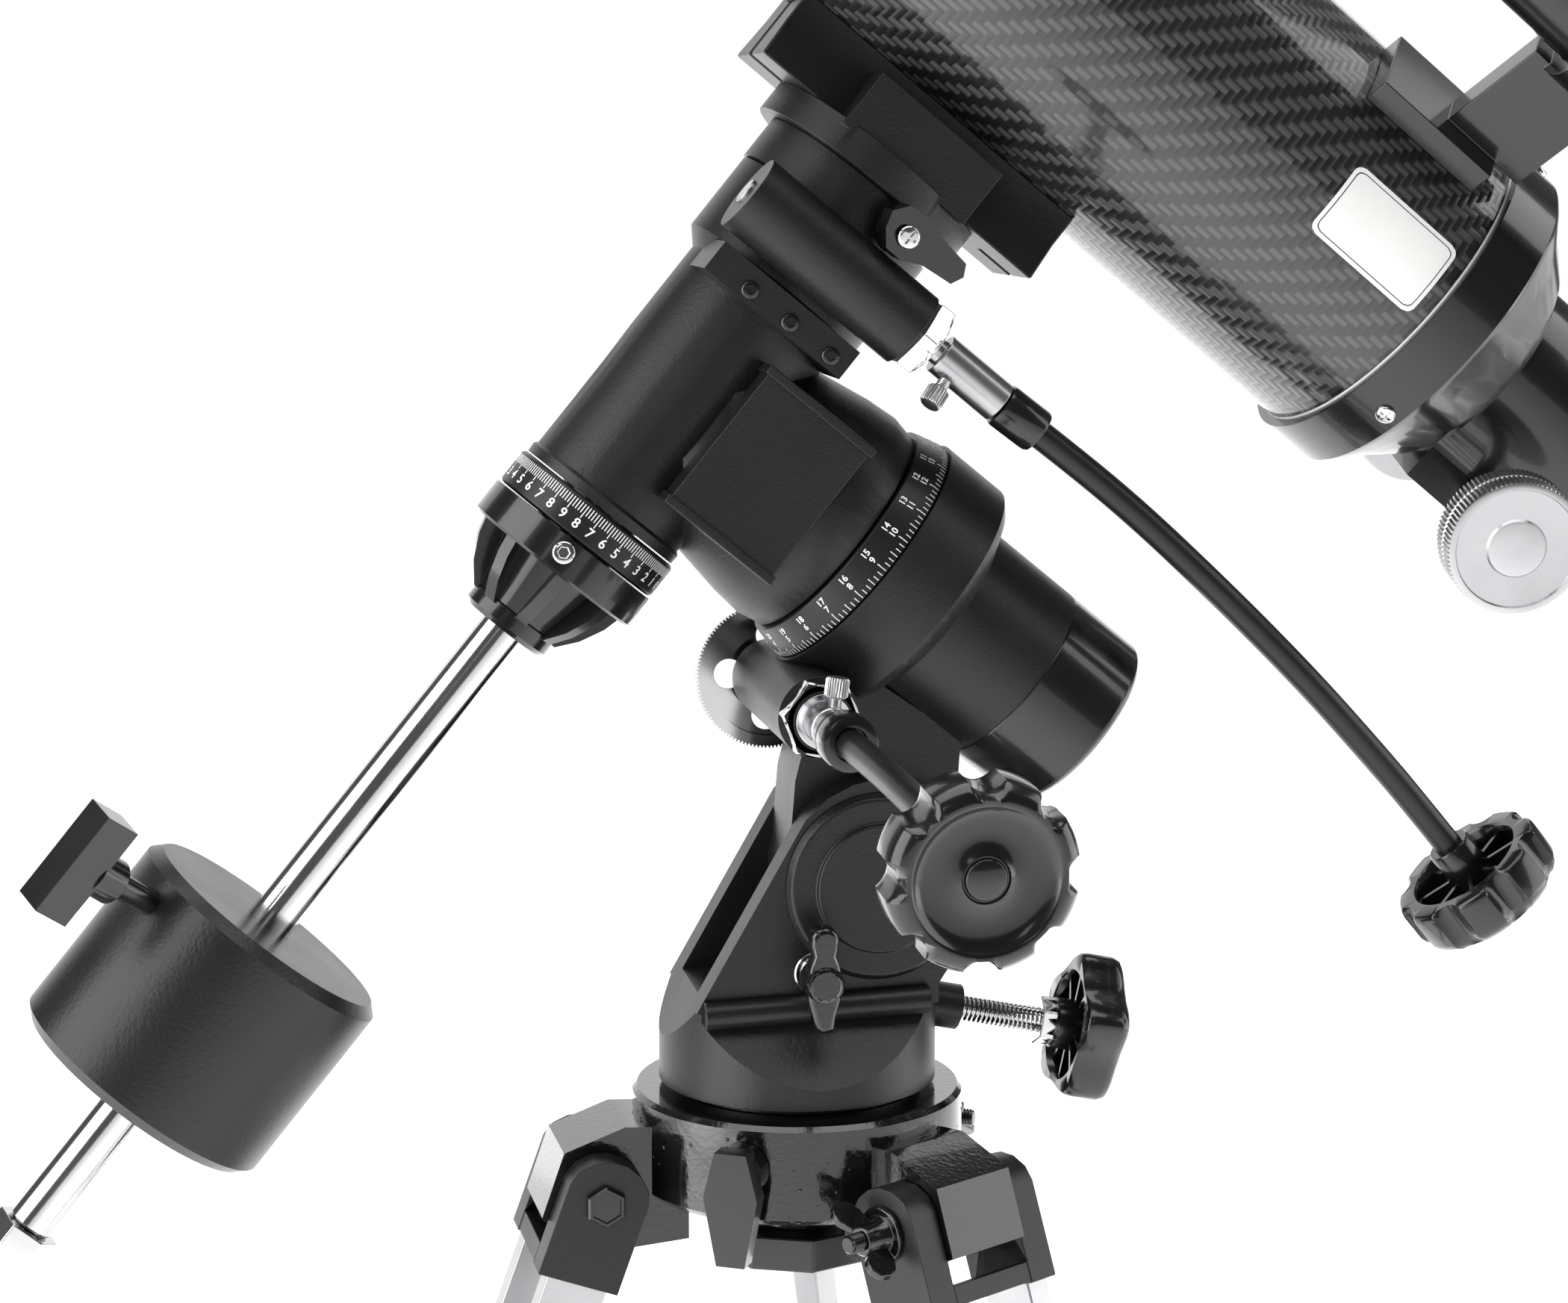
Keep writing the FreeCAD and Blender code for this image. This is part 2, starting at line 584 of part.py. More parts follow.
# ---------------------------------------------------------------- polar housing
housing = turned("PolarBarrel", [("polar_spindle+0.05", "cap_start"), ("polar_tube_radius", "cap_start"),
                                 ("polar_tube_radius", "polar_step-4"),
                                 ("polar_big_radius-3", "polar_step"),
                                 ("polar_big_radius", "polar_step+3"),
                                 ("polar_big_radius", "ring_lower-0.3"),
                                 ("polar_neck_radius-0.05", "ring_lower-0.3"),
                                 ("polar_neck_radius-0.05", "ring_upper"),
                                 ("polar_spindle+0.05", "ring_upper")], polar())
hinge_lug = cylinder("HingeLug", 27, "2*fork_slot-1", hinge_frame * shift(0, 0, 0.5 - value("fork_slot")))
WEB = [(-80, -30), (-131, -26), (-150, -52), (-150, -88), (-118, -97), (-98, -68)]
polar_side = along(centre, Vector(0, 1, 0), dec_dir)
web = padded("PolarWeb", [(side, -station) for station, side in WEB], "2*fork_slot-1", polar_side)
tail = block("PushTail", (hinge_x - 10.2, -9, hub_z + hinge_z - 47), (17, 18, 30))
bored = cylinder("HingeBore", "pivot_bolt_radius+0.05", 60, hinge_frame * shift(0, 0, -30))
spindle_room = cylinder("SpindleRoom", "polar_spindle+0.05", 90, polar("cap_start-1"))
worm_side = along(centre + polar_dir * value("worm_station") + dec_dir * value("worm_drop"),
                  Vector(0, -1, 0), dec_dir)
worm_bed = cylinder("WormBed", "worm_housing_radius", 78, worm_side * shift(0, 0, -36))
keep(cut("PolarHousing", fuse("PolarSolid", [housing, hinge_lug, web, tail]), bored, spindle_room,
         worm_bed), "polar_housing")

keep(turned("PolarCap", [(0, "polar_end"), ("polar_tube_radius-2", "polar_end"), ("polar_tube_radius",
        "polar_end+2"),
                         ("polar_tube_radius", "cap_start"), ("polar_spindle+0.05", "cap_start"),
                         ("polar_spindle+0.05", "cap_start-12"), (0, "cap_start-12")], polar()),
                         "polar_cap")

keep(turned("RaCircle", [("polar_neck_radius", "ring_lower"), ("ring_low_radius", "ring_lower"),
                         ("ring_low_radius", "ring_lower+2.4"), ("ring_top_radius", "ring_upper-0.4"),
                         ("polar_neck_radius", "ring_upper-0.4")], polar()), "ra_circle")

# the right ascension worm: a housing across the polar body, a shaft, a toothed wheel on the far side
worm_shell = cylinder("WormShell", "worm_housing_radius-0.02", 78, worm_side * shift(0, 0, -36))
hex_points = [("12*cos(%d)" % a, "12*sin(%d)" % a) for a in range(0, 360, 60)]
worm_nut = padded("WormNut", hex_points, 6, worm_side * shift(0, 0, 45))
worm_bore = cylinder("WormBore", "shaft_radius+0.05", 120, worm_side * shift(0, 0, -50))
keep(cut("RaWormHousing", fuse("WormWhole", [worm_shell, worm_nut]), worm_bore), "ra_worm_housing")
ra_shaft = cylinder("RaShaft", "shaft_radius", 104, worm_side * shift(0, 0, -46))
TEETH = 60
rim = []
for k in range(2 * TEETH):
    reach = "worm_gear_radius" if k % 4 in (0, 1) else "worm_gear_radius-1.4"
    rim.append(("(%s)*cos(%g)" % (reach, 180 * k / TEETH), "(%s)*sin(%g)" % (reach, 180 * k / TEETH)))
wheel = padded("RaWheel", rim, 5, worm_side * shift(0, 0, -40.5))
ra_ferrule = cylinder("RaFerrule", 6.4, 17.7, worm_side * shift(0, 0, 57))
wheel_holes = []
for k in range(6):
    spoke = worm_side * Placement(Vector(), Rotation(Z_UP, 60 * k)) * shift(14, 0, -44)
    wheel_holes.append(cylinder("WheelHole%d" % k, 4, 8, spoke))
keep(cut("RaWormShaft", fuse("RaShaftWhole", [ra_shaft, wheel, ra_ferrule]), *wheel_holes), "ra_worm_shaft")

# ---------------------------------------------------------------- slow-motion cables
def cable_wire(points):
    """Straight runs joined by tangent arcs, each arc as large as its two runs allow."""
    edges = []
    last = points[0]
    for before, corner, after in zip(points, points[1:], points[2:]):
        way_in = (corner - before).normalize()
        way_out = (after - corner).normalize()
        turn = way_in.getAngle(way_out)
        reach = 0.45 * min((corner - before).Length, (after - corner).Length)
        radius = reach / math.tan(turn / 2)
        print("cable bend radius %.0f mm" % radius)
        first = corner - way_in * reach
        end = corner + way_out * reach
        to_centre = (way_out - way_in).normalize()
        middle = corner + to_centre * (radius / math.cos(turn / 2) - radius)
        edges.append(Part.LineSegment(last, first).toShape())
        edges.append(Part.Arc(first, middle, end).toShape())
        last = end
    edges.append(Part.LineSegment(last, points[-1]).toShape())
    return Part.Wire(edges)


def cable(name, points):
    """A plain tube along a route; its section is swept along runs and arcs."""
    path = cable_wire(points)
    start_way = points[1] - points[0]
    section = Part.Wire(Part.makeCircle(value("cable_radius"), points[0], start_way))
    thing = doc.addObject("Part::Feature", name)
    thing.Shape = path.makePipeShell([section], True, False)
    print("%s: length %.1f mm, volume ratio %.4f" % (name, path.Length, thing.Shape.Volume / (
        path.Length * math.pi * value("cable_radius") ** 2)))
    return thing


def hand_knob(name, origin, direction, lobes=8):
    """The knob of a slow-motion cable: a sleeve over the cable's end and a lobed grip."""
    frame = along(origin, direction, Vector(0, 1, 0))
    sleeve = cylinder(name + "Sleeve", 7, 12, frame)
    grip = lobed_knob(name, value("knob_radius"), lobes, value("knob_thick"),
                      frame * shift(0, 0, 8), 0.17)
    room = cylinder(name + "Hollow", "knob_radius-7", "knob_thick-5", frame * shift(0, 0, 7))
    hub = cylinder(name + "Hub", 8, "knob_thick", frame * shift(0, 0, 8))
    return fuse(name + "Whole", [cut(name + "Shell", grip, room), sleeve, hub])


worm_out = centre + polar_dir * value("worm_station") + dec_dir * value("worm_drop")
RA_ROUTE = [(0, -75, 0), (0.3, -104, -0.2), (1, -138, -1), (2, -172, -3), (3, -203, -6)]
ra_points = [Vector(worm_out.x + x, y, worm_out.z + z) for x, y, z in RA_ROUTE]
keep(cable("RaCable", ra_points), "ra_cable")
keep(hand_knob("RaKnob", ra_points[-1], ra_points[-1] - ra_points[-2]), "ra_knob")

# ---------------------------------------------------------------- declination housing
barrel = turned("DecBarrel", [(0, "dec_circle_top"), (27.6, "dec_circle_top"), (27.8, -36.5), (26.8, -35.5),
                              (26.6, -8), (27, 10), ("dec_neck_radius", 25), ("dec_neck_radius", 40),
                              ("dec_collar_radius", 45),
                              ("dec_collar_radius", 70.4), ("dec_collar_radius-1.2", 70.9),
                              ("head_ring_radius", 71.4),
                              ("head_ring_radius", "head_ring_top"), (12.05, "head_ring_top"), (12.05, 44),
                              (0, 44)], dec())
flange = turned("RaFlange", [(0, -6), (29, -6), (34, -24), (37.5, -44), (38.4, -54), (37, "ring_upper+0.4"),
                             ("polar_spindle", "ring_upper+0.4"), ("polar_spindle", "cap_start+3"),
                             (0, "cap_start+3")], polar())
worm_axis = dec("dec_worm_station") * along(Vector(0, value("dec_worm_out"), 0), Vector(1, 0, 0))
worm_pad = block("WormPad", (-26, -36, 34), (52, 26, 10), dec())
dec_worm_room = cylinder("DecWormRoom", 12, 80, worm_axis * shift(0, 0, -34))
lever_hole = cylinder("LeverHole", 3.05, 20, dec(78) * along(Vector(9, -20, 0), Vector(0.18, -1, 0)))
keep(cut("DecHousing", fuse("DecSolid", [barrel, flange, worm_pad]), dec_worm_room, lever_hole),
     "dec_housing")

keep(turned("DecCircle", [(14, "dec_circle_low"), ("dec_circle_radius-1", "dec_circle_low"),
                          ("dec_circle_radius", "dec_circle_low+0.8"),
                          ("dec_circle_radius", "dec_circle_top-1.2"),
                          ("dec_circle_radius-1", "dec_circle_top-0.4"), (14, "dec_circle_top-0.4")],
                          dec()), "dec_circle")
NOSE = [("weight_shaft_radius", "nose_tip"), ("nose_tip_radius-1.5", "nose_tip"),
        ("nose_tip_radius", "nose_tip+1.5"),
        ("nose_tip_radius", "nose_tip+6"), ("nose_tip_radius-0.5", "nose_tip+6.5"),
        (18.6, "nose_collar_low"),
        (28.6, "nose_collar_low"), (29.4, "nose_collar_low+0.8"), (29.4, "dec_circle_low-0.4"),
        ("13.9", "dec_circle_low-0.4"), ("13.9", "dec_circle_top"), (0, "dec_circle_top"), (0, -60),
        ("weight_shaft_radius", -60)]
nose_parts = [turned("NoseCore", NOSE, dec())]
FIN = [(14, "nose_tip+5"), (15.6, "nose_tip+5"), (20.6, -75.5), (24.4, -68), (26, "nose_collar_low+1"),
       (14, "nose_collar_low+1")]
for k in range(8):
    nose_parts.append(padded("NoseFin%d" % k, FIN, 4.2,
                             dec() * Placement(Vector(), Rotation(Z_UP, 45 * k)) * flat))
nose = fuse("NoseWhole", nose_parts)
shaft_room = cylinder("NoseRoom", "weight_shaft_radius", 30, dec("nose_tip-1"))
keep(cut("DecNose", nose, shaft_room), "dec_nose")

# ---------------------------------------------------------------- counterweight
keep(turned("WeightShaft", [(0, "weight_shaft_end"), ("weight_shaft_radius-1", "weight_shaft_end"),
                            ("weight_shaft_radius", "weight_shaft_end+1"), ("weight_shaft_radius", -60),
                            (0, -60)],
            dec()), "counterweight_shaft")
bolt_hex = [("10.5*cos(%d)" % a, "10.5*sin(%d)" % a) for a in range(0, 360, 60)]
keep(padded("ShaftBolt", bolt_hex, 7, dec("weight_shaft_end-3.5")), "shaft_end_bolt")
weight_body = turned("WeightBody", [("weight_shaft_radius+0.05", "weight_bottom"), ("weight_radius-3.3",
        "weight_bottom"),
                                    ("weight_radius", "weight_bottom+3.3"),
                                    ("weight_radius", "weight_top-3.3"),
                                    ("weight_radius-3.3", "weight_top"),
                                    ("weight_shaft_radius+0.05", "weight_top")], dec())
clamp_axis = dec(-213) * along(Vector(-8, -6, 0), Vector(-1, -0.6, 0), Z_UP)
clamp_hole = cylinder("ClampHole", 4.05, 60, clamp_axis)
keep(cut("Counterweight", weight_body, clamp_hole), "counterweight")
clamp_stem = cylinder("ClampStem", 4, 52, clamp_axis * shift(0, 0, 12))
clamp_hub = cylinder("ClampHub", 7, 9, clamp_axis * shift(0, 0, 48))
clamp_bar = block("ClampBar", (-17, -6, 56), (34, 12, 12), clamp_axis)
keep(fuse("WeightScrew", [clamp_stem, clamp_hub, clamp_bar]), "counterweight_screw")

# ---------------------------------------------------------------- declination worm
dec_shell = cylinder("DecWormShell", 12, 64, worm_axis * shift(0, 0, -30))
dec_nut = padded("DecWormNut", hex_points, 4.4, worm_axis * shift(0, 0, 35))
dec_bore = cylinder("DecWormBore", "shaft_radius+0.05", 100, worm_axis * shift(0, 0, -40))
keep(cut("DecWormBlock", fuse("DecWormWhole", [dec_shell, dec_nut]), dec_bore), "dec_worm_block")
dec_shaft = cylinder("DecShaft", "shaft_radius", 76, worm_axis * shift(0, 0, -31))
dec_ferrule = cylinder("DecFerrule", 6.4, 23.7, worm_axis * shift(0, 0, 45))
keep(fuse("DecWormShaft", [dec_shaft, dec_ferrule]), "dec_worm_shaft")
dec_start = worm_axis.multVec(Vector(0, 0, 69))
DEC_ROUTE = [(0, 0), (28, 1), (54, 1), (80, -0.4), (107, -2.4), (133, -5), (158, -8.4), (181, -12),
             (202, -16)]
dec_points = [dec_start - polar_dir * run + dec_dir * drop for run, drop in DEC_ROUTE]
keep(cable("DecCable", dec_points), "dec_cable")
keep(hand_knob("DecKnob", dec_points[-1], dec_points[-1] - dec_points[-2]), "dec_knob")

# ---------------------------------------------------------------- saddle head and dovetail
SADDLE = [("12", 46), ("12", "head_ring_top+0.3"), ("saddle_radius", "head_ring_top+0.3"),
          ("saddle_radius", "saddle_floor"), (0, "saddle_floor"), (0, 46)]
head = turned("SaddleHead", SADDLE, dec())
jaws = block("SaddleJaws", (-20, -33, "saddle_floor-2"), (47, 66, "saddle_top-saddle_floor+2"), dec())
TAIL = [(-22.2, 0), (22.2, 0), (17.6, 13), (17.6, 30), (-17.6, 30), (-17.6, 13)]
tail_plane = dec("saddle_floor") * along(Vector(3, 0, 0), Vector(1, 0, 0), Vector(0, 1, 0))
channel = padded("Channel", [(x * 1.008, y) for x, y in TAIL], 140, tail_plane)
keep(cut("Saddle", fuse("SaddleSolid", [head, jaws]), channel), "saddle_head")
bar = padded("DovetailSolid", TAIL, 106, tail_plane)
cradle = cylinder("Cradle", "tube_radius", 200, tube_frame(-100))
slits = [block("Slit%d" % side, (3 + side * 47 - 7, -2, 90), (14, 4, 40), dec()) for side in (-1, 1)]
keep(cut("DovetailBar", bar, cradle, *slits), "dovetail_bar")

lever_axis = dec(78) * along(Vector(9, -20, 0), Vector(0.18, -1, 0), Vector(1, 0, 0))
lever_stem = cylinder("LeverStem", 3, 20, lever_axis * shift(0, 0, 4))
lever_hub = cylinder("LeverHub", 6.5, 7, lever_axis * shift(0, 0, 16))
lever_arm = padded("LeverArm", [(-7, -2), (-8.5, 3), (-5, 7.5), (3, 8.5), (9, 6.5), (20, 5.5), (22, 2), (20,
        -2), (9, -3.5), (3, -6.5), (-3, -6.5)], 7,
                   lever_axis * shift(0, 0, 22))
keep(fuse("DecLever", [lever_stem, lever_hub, lever_arm]), "dec_clamp_lever")

# ---------------------------------------------------------------- optical tube
keep(turned("TubeShell", [("tube_radius-tube_wall", "tube_rear"), ("tube_radius", "tube_rear"),
                          ("tube_radius", "tube_front"), ("tube_radius-tube_wall", "tube_front")],
                          tube_frame()), "tube")
keep(turned("LensCell", [("tube_radius", "tube_front-10"), ("tube_radius+4", "tube_front-10"),
                         ("tube_radius+4", "tube_front+20"), ("lens_radius-2", "tube_front+20"),
                         ("lens_radius-2", "tube_front+16"), ("lens_radius", "tube_front+16"),
                         ("lens_radius", "tube_front"), ("tube_radius", "tube_front")], tube_frame()),
                         "lens_cell")
DEW = [("tube_radius+4", "tube_front-6"), ("tube_radius+6", "tube_front-6"),
       ("tube_radius+6", "dew_front-9"),
       ("tube_radius+7.5", "dew_front-8"), ("tube_radius+7.5", "dew_front"), ("tube_radius+4", "dew_front")]
keep(turned("DewShield", DEW, tube_frame()), "dew_shield")
BULGE = [("lens_radius*%g" % k, "tube_front+14+%g" % (4.5 * (1 - k * k) - 4.5)) for k in (1, 0.8, 0.6, 0.4,
        0.2, 0)]
keep(turned("Lens", BULGE + [(0, "tube_front+3"), ("lens_radius", "tube_front+3")], tube_frame()),
     "objective_lens")

CELL = [("tube_radius", "tube_rear+2"), ("rear_cell_radius", "tube_rear+2"),
        ("rear_cell_radius", "tube_rear-15"),
        ("rear_cell_radius-1.5", "tube_rear-17"), ("rear_cell_radius-9", "tube_rear-24"),
        ("focuser_radius+6", "tube_rear-35"),
        ("focuser_radius", "tube_rear-39"), ("focuser_radius", "focuser_end"),
        ("drawtube_radius+0.05", "focuser_end"),
        ("drawtube_radius+0.05", "tube_rear-20"), ("tube_radius-6", "tube_rear-10"),
        ("tube_radius-6", "tube_rear"),
        ("tube_radius", "tube_rear")]
cell_body = turned("CellBody", CELL, tube_frame())
pinion_turn = Placement(Vector(), Rotation(Z_UP, -14))
pinion_house = block("PinionHouse", ("focus_drop-9", -19, "focus_station-20"), (20, 38, 40),
                     tube_frame() * pinion_turn)
pinion_axis = tube_frame("focus_station") * pinion_turn * along(Vector(value("focus_drop"), 0, 0),
                                                                Vector(0, 1, 0))
pinion_hole = cylinder("PinionHole", "shaft_radius+0.05", 120, pinion_axis * shift(0, 0, -60))
draw_room = cylinder("DrawRoom", "drawtube_radius+0.05", 120, tube_frame(-290))
keep(cut("FocuserBody", fuse("FocuserSolid", [cell_body, pinion_house]), pinion_hole, draw_room),
     "focuser_body")

DRAW = [("eyepiece_bore", "drawtube_end-16"), (29, "drawtube_end-16"), (30, "drawtube_end-15"),
        (30, "drawtube_end"),
        ("drawtube_radius", "drawtube_end+1"), ("drawtube_radius", -180), ("drawtube_radius-2", -180),
        ("drawtube_radius-2", "drawtube_end+10"), ("eyepiece_bore", "drawtube_end+10")]
keep(turned("Drawtube", DRAW, tube_frame()), "drawtube")
pinion_shaft = cylinder("PinionShaft", "shaft_radius", 124, pinion_axis * shift(0, 0, -62))
focus_pieces = [pinion_shaft]
for side in (-1, 1):
    face = pinion_axis * Placement(Vector(0, 0, side * 78),
                                   Rotation(Vector(1, 0, 0), 0 if side < 0 else 180))
    focus_pieces.append(turned("FocusKnob%d" % side,
                               [(0, 1.5), (7, 1.5), (8, 0), ("focus_knob_radius-1", 0),
                                                      ("focus_knob_radius", 1), ("focus_knob_radius", 21),
                                                      ("focus_knob_radius-1", 22), (9, 22), (9, 36),
                                                      (0, 36)], face))
keep(fuse("FocusKnobs", focus_pieces), "focus_knobs")

# ---------------------------------------------------------------- finder
finder_turn = Placement(Vector(), Rotation(Z_UP, -45))
finder_frame = tube_frame() * finder_turn
pad = block("FinderPad", ("tube_radius-4", -13, -140), (11, 26, 44), finder_frame)
post = block("FinderPost", ("tube_radius+6", -5, -150),
             ("finder_out-tube_radius-6-finder_radius-3", 10, 30), finder_frame)
tube_room = cylinder("TubeRoom", "tube_radius", 100, tube_frame(-180))
finder_axis = finder_frame * shift(value("finder_out"), 0, 0)
ring = cylinder("FinderRing", "finder_radius+6", 24, finder_axis * shift(0, 0, -150))
finder_room = cylinder("FinderRoom", "finder_radius", 60, finder_axis * shift(0, 0, -170))
keep(cut("FinderBracket", fuse("FinderHolder", [pad, post, ring]), tube_room, finder_room),
     "finder_bracket")
FINDER = [(0, -236), (11, -236), (13, -232), (13, -214), (10, -210), ("finder_radius", -196),
          ("finder_radius", -90),
          (18, -70), (18, -36), (16.4, -36), (16.4, -42), (0, -42)]
keep(turned("FinderScope", FINDER, finder_axis), "finder_scope")

# ---------------------------------------------------------------- checks and files
doc.recompute()
faults = [thing.Label for thing in doc.Objects if {"Invalid", "Error"} & set(thing.State)]
faults += [thing.Label for thing in nodes if thing.Shape.isNull() or not thing.Shape.isValid()]
if faults:
    raise SystemExit("failed: " + ", ".join(faults))
os.makedirs("parts", exist_ok=True)
for thing in nodes:
    print("%-22s %2d solids %12.1f mm3" % (thing.Label, len(thing.Shape.Solids), thing.Shape.Volume))
    thing.Shape.exportStep("parts/%s.step" % thing.Label)
print(len(nodes), "sub-parts")
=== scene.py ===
# %% [markdown]
# # A telescope on an equatorial mount, dressed for a studio picture
# The shapes that move or fit come in ready made. This lesson loads them, gives each surface its own
# finish, and adds the pieces that are too fine for a working model: screws, dial marks, ribs, labels.
# Everything is in metres.

# %% Load the working model
import bmesh
import bpy
import json
import math
import random
from mathutils import Matrix, Vector

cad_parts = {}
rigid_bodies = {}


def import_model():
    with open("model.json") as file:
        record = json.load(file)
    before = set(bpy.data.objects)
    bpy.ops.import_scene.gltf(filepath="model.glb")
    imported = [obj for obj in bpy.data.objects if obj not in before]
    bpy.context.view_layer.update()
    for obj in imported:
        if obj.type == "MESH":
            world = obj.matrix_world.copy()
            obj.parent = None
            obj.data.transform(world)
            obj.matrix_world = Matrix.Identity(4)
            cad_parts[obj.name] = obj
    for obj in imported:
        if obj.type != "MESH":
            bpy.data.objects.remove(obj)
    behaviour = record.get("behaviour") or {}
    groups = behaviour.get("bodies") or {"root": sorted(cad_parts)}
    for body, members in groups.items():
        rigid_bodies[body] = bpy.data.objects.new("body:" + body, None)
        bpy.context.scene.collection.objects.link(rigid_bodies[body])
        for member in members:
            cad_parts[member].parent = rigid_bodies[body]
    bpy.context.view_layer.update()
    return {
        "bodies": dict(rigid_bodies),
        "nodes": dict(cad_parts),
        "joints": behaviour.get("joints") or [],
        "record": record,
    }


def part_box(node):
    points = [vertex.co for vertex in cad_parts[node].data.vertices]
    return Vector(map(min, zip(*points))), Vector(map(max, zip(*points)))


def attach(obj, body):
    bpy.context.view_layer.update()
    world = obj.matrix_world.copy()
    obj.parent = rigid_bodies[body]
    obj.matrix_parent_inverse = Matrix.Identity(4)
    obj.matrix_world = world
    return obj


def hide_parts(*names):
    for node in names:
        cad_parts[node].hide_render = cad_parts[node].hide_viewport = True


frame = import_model()
nodes = frame["nodes"]
record = frame["record"]
MM = 0.001

# %% [markdown]
# ## Axes to measure from
# A mount like this is two crossed axes. Every detail is easier to place in the frame of the axis that
# it belongs to, so we read both axes from the joints and make one small function for each frame.
# In these frames Z runs along the axis, as on a lathe.

# %% Frames of the mount
JOINTS = {joint["name"]: joint for joint in frame["joints"]}
CENTRE = Vector(JOINTS["right_ascension"]["pos_m"])
POLAR = Vector(JOINTS["right_ascension"]["axis"]).normalized()
DEC = Vector(JOINTS["declination"]["axis"]).normalized()
SIDE = Vector((0, 1, 0))


def stand(origin, z_axis, x_axis=None):
    """A matrix at origin whose Z is z_axis and whose X is as near x_axis as it can be."""
    z = Vector(z_axis).normalized()
    hint = Vector(x_axis) if x_axis is not None else (Vector((1, 0, 0)) if abs(z.x) < 0.9 else SIDE)
    x = (hint - z * hint.dot(z)).normalized()
    y = z.cross(x)
    matrix = Matrix((x, y, z)).transposed().to_4x4()
    matrix.translation = Vector(origin)
    return matrix


def polar(station=0, side=0, out=0):
    """Polar frame, in millimetres: station up the axis, side along the declination axis, out along Y."""
    return stand(CENTRE + MM * (station * POLAR + side * DEC + out * SIDE), POLAR, DEC)


def dec(station=0):
    """Declination frame; its X points down the polar axis."""
    return stand(CENTRE + MM * station * DEC, DEC, -POLAR)


TUBE_OFFSET = 169.4


def tube(station=0):
    return polar(station, TUBE_OFFSET)


hub_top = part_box("tripod_hub")[1].z
print("polar axis climbs %.1f degrees" % math.degrees(math.asin(POLAR.z)))

# %% [markdown]
# ## Camera and studio
# The view is close and a little from above, with a long lens so that shapes stay true. Black paint
# only shows its form by what it reflects, so the lights are large white panels: one each side, one
# overhead, one behind and a weak one by the camera. The camera sees white air, but the paint is shown
# dark air between the panels. So the room is white and black paint still looks black.

# %% Camera
LOOK_AT = Vector((-0.00414, 0, hub_top + 0.13704))
AZIMUTH, ELEVATION, DISTANCE = math.radians(-11.0), math.radians(8.85), 1.0129
back = Vector((math.sin(AZIMUTH) * math.cos(ELEVATION), -math.cos(AZIMUTH) * math.cos(ELEVATION),
               math.sin(ELEVATION)))
camera = bpy.data.objects.new("camera", bpy.data.cameras.new("camera"))
bpy.context.scene.collection.objects.link(camera)
camera.data.lens = 75.19
camera.data.sensor_width = 36
camera.data.clip_start = 0.05
camera.location = LOOK_AT + back * DISTANCE
camera.rotation_mode = "QUATERNION"
camera.rotation_quaternion = (-back).to_track_quat("-Z", "Y")
bpy.context.scene.camera = camera
print("camera at", [round(v, 3) for v in camera.location])


# %% Floor and lights
def panel_light(name, place, aim, width, height, power):
    data = bpy.data.lights.new(name, "AREA")
    data.shape = "RECTANGLE"
    data.size, data.size_y = width, height
    data.energy = power
    lamp = bpy.data.objects.new(name, data)
    bpy.context.scene.collection.objects.link(lamp)
    lamp.location = place
    lamp.visible_camera = False
    lamp.rotation_mode = "QUATERNION"
    lamp.rotation_quaternion = (Vector(aim) - Vector(place)).to_track_quat("-Z", "Y")
    return lamp


aim = (0, 0, hub_top + 0.15)
panel_light("left_panel", (-1.9, -0.5, 1.2), aim, 1.8, 2.4, 60)
panel_light("right_panel", (2.0, -0.3, 1.2), aim, 1.6, 2.2, 28)
panel_light("top_panel", (0.0, -0.1, 2.6), aim, 2.4, 2.0, 44)
panel_light("back_panel", (0.0, 3.4, 1.7), aim, 5.0, 3.4, 62)
panel_light("front_panel", (-0.9, -2.6, 2.0), aim, 0.5, 0.9, 3)


def plain(name, colour, roughness):
    material = bpy.data.materials.new(name)
    material.use_nodes = True
    shader = material.node_tree.nodes["Principled BSDF"]
    shader.inputs["Base Color"].default_value = (*colour, 1)
    shader.inputs["Roughness"].default_value = roughness
    return material


studio_paper = plain("studio_paper", (0.93, 0.93, 0.93), 0.9)
studio_paper.node_tree.nodes["Principled BSDF"].inputs["Emission Color"].default_value = (1, 1, 1, 1)
studio_paper.node_tree.nodes["Principled BSDF"].inputs["Emission Strength"].default_value = 1.0
paper = bmesh.new()
paper.faces.new([paper.verts.new((x, y, -0.0005)) for x, y in ((-12, -12), (12, -12), (12, 12), (-12, 12))])
paper_mesh = bpy.data.meshes.new("studio_floor")
paper.to_mesh(paper_mesh)
paper_mesh.materials.append(studio_paper)
floor = bpy.data.objects.new("studio_floor", paper_mesh)
bpy.context.scene.collection.objects.link(floor)
world = bpy.data.worlds.new("studio_air")
world.use_nodes = True
world.node_tree.nodes["Background"].inputs["Color"].default_value = (1, 1, 1, 1)
air = world.node_tree.nodes["Background"]
seen = world.node_tree.nodes.new("ShaderNodeLightPath")
level = world.node_tree.nodes.new("ShaderNodeMapRange")
level.inputs["To Min"].default_value = 0.12
level.inputs["To Max"].default_value = 1.0
world.node_tree.links.new(seen.outputs["Is Camera Ray"], level.inputs["Value"])
world.node_tree.links.new(level.outputs["Result"], air.inputs["Strength"])
bpy.context.scene.world = world
bpy.context.scene.view_settings.view_transform = "Standard"
print("studio ready")

# %% [markdown]
# ## Finishes
# A finish is a base colour, a gloss that varies a little from place to place, and a bump at the scale
# of the real surface. One function wires those up. The bumps are noise in object space, so they need
# no unwrapping and they ride along with a moving part. Powder paint has grains of about half a
# millimetre; moulded plastic is finer; poured enamel has broad drops.


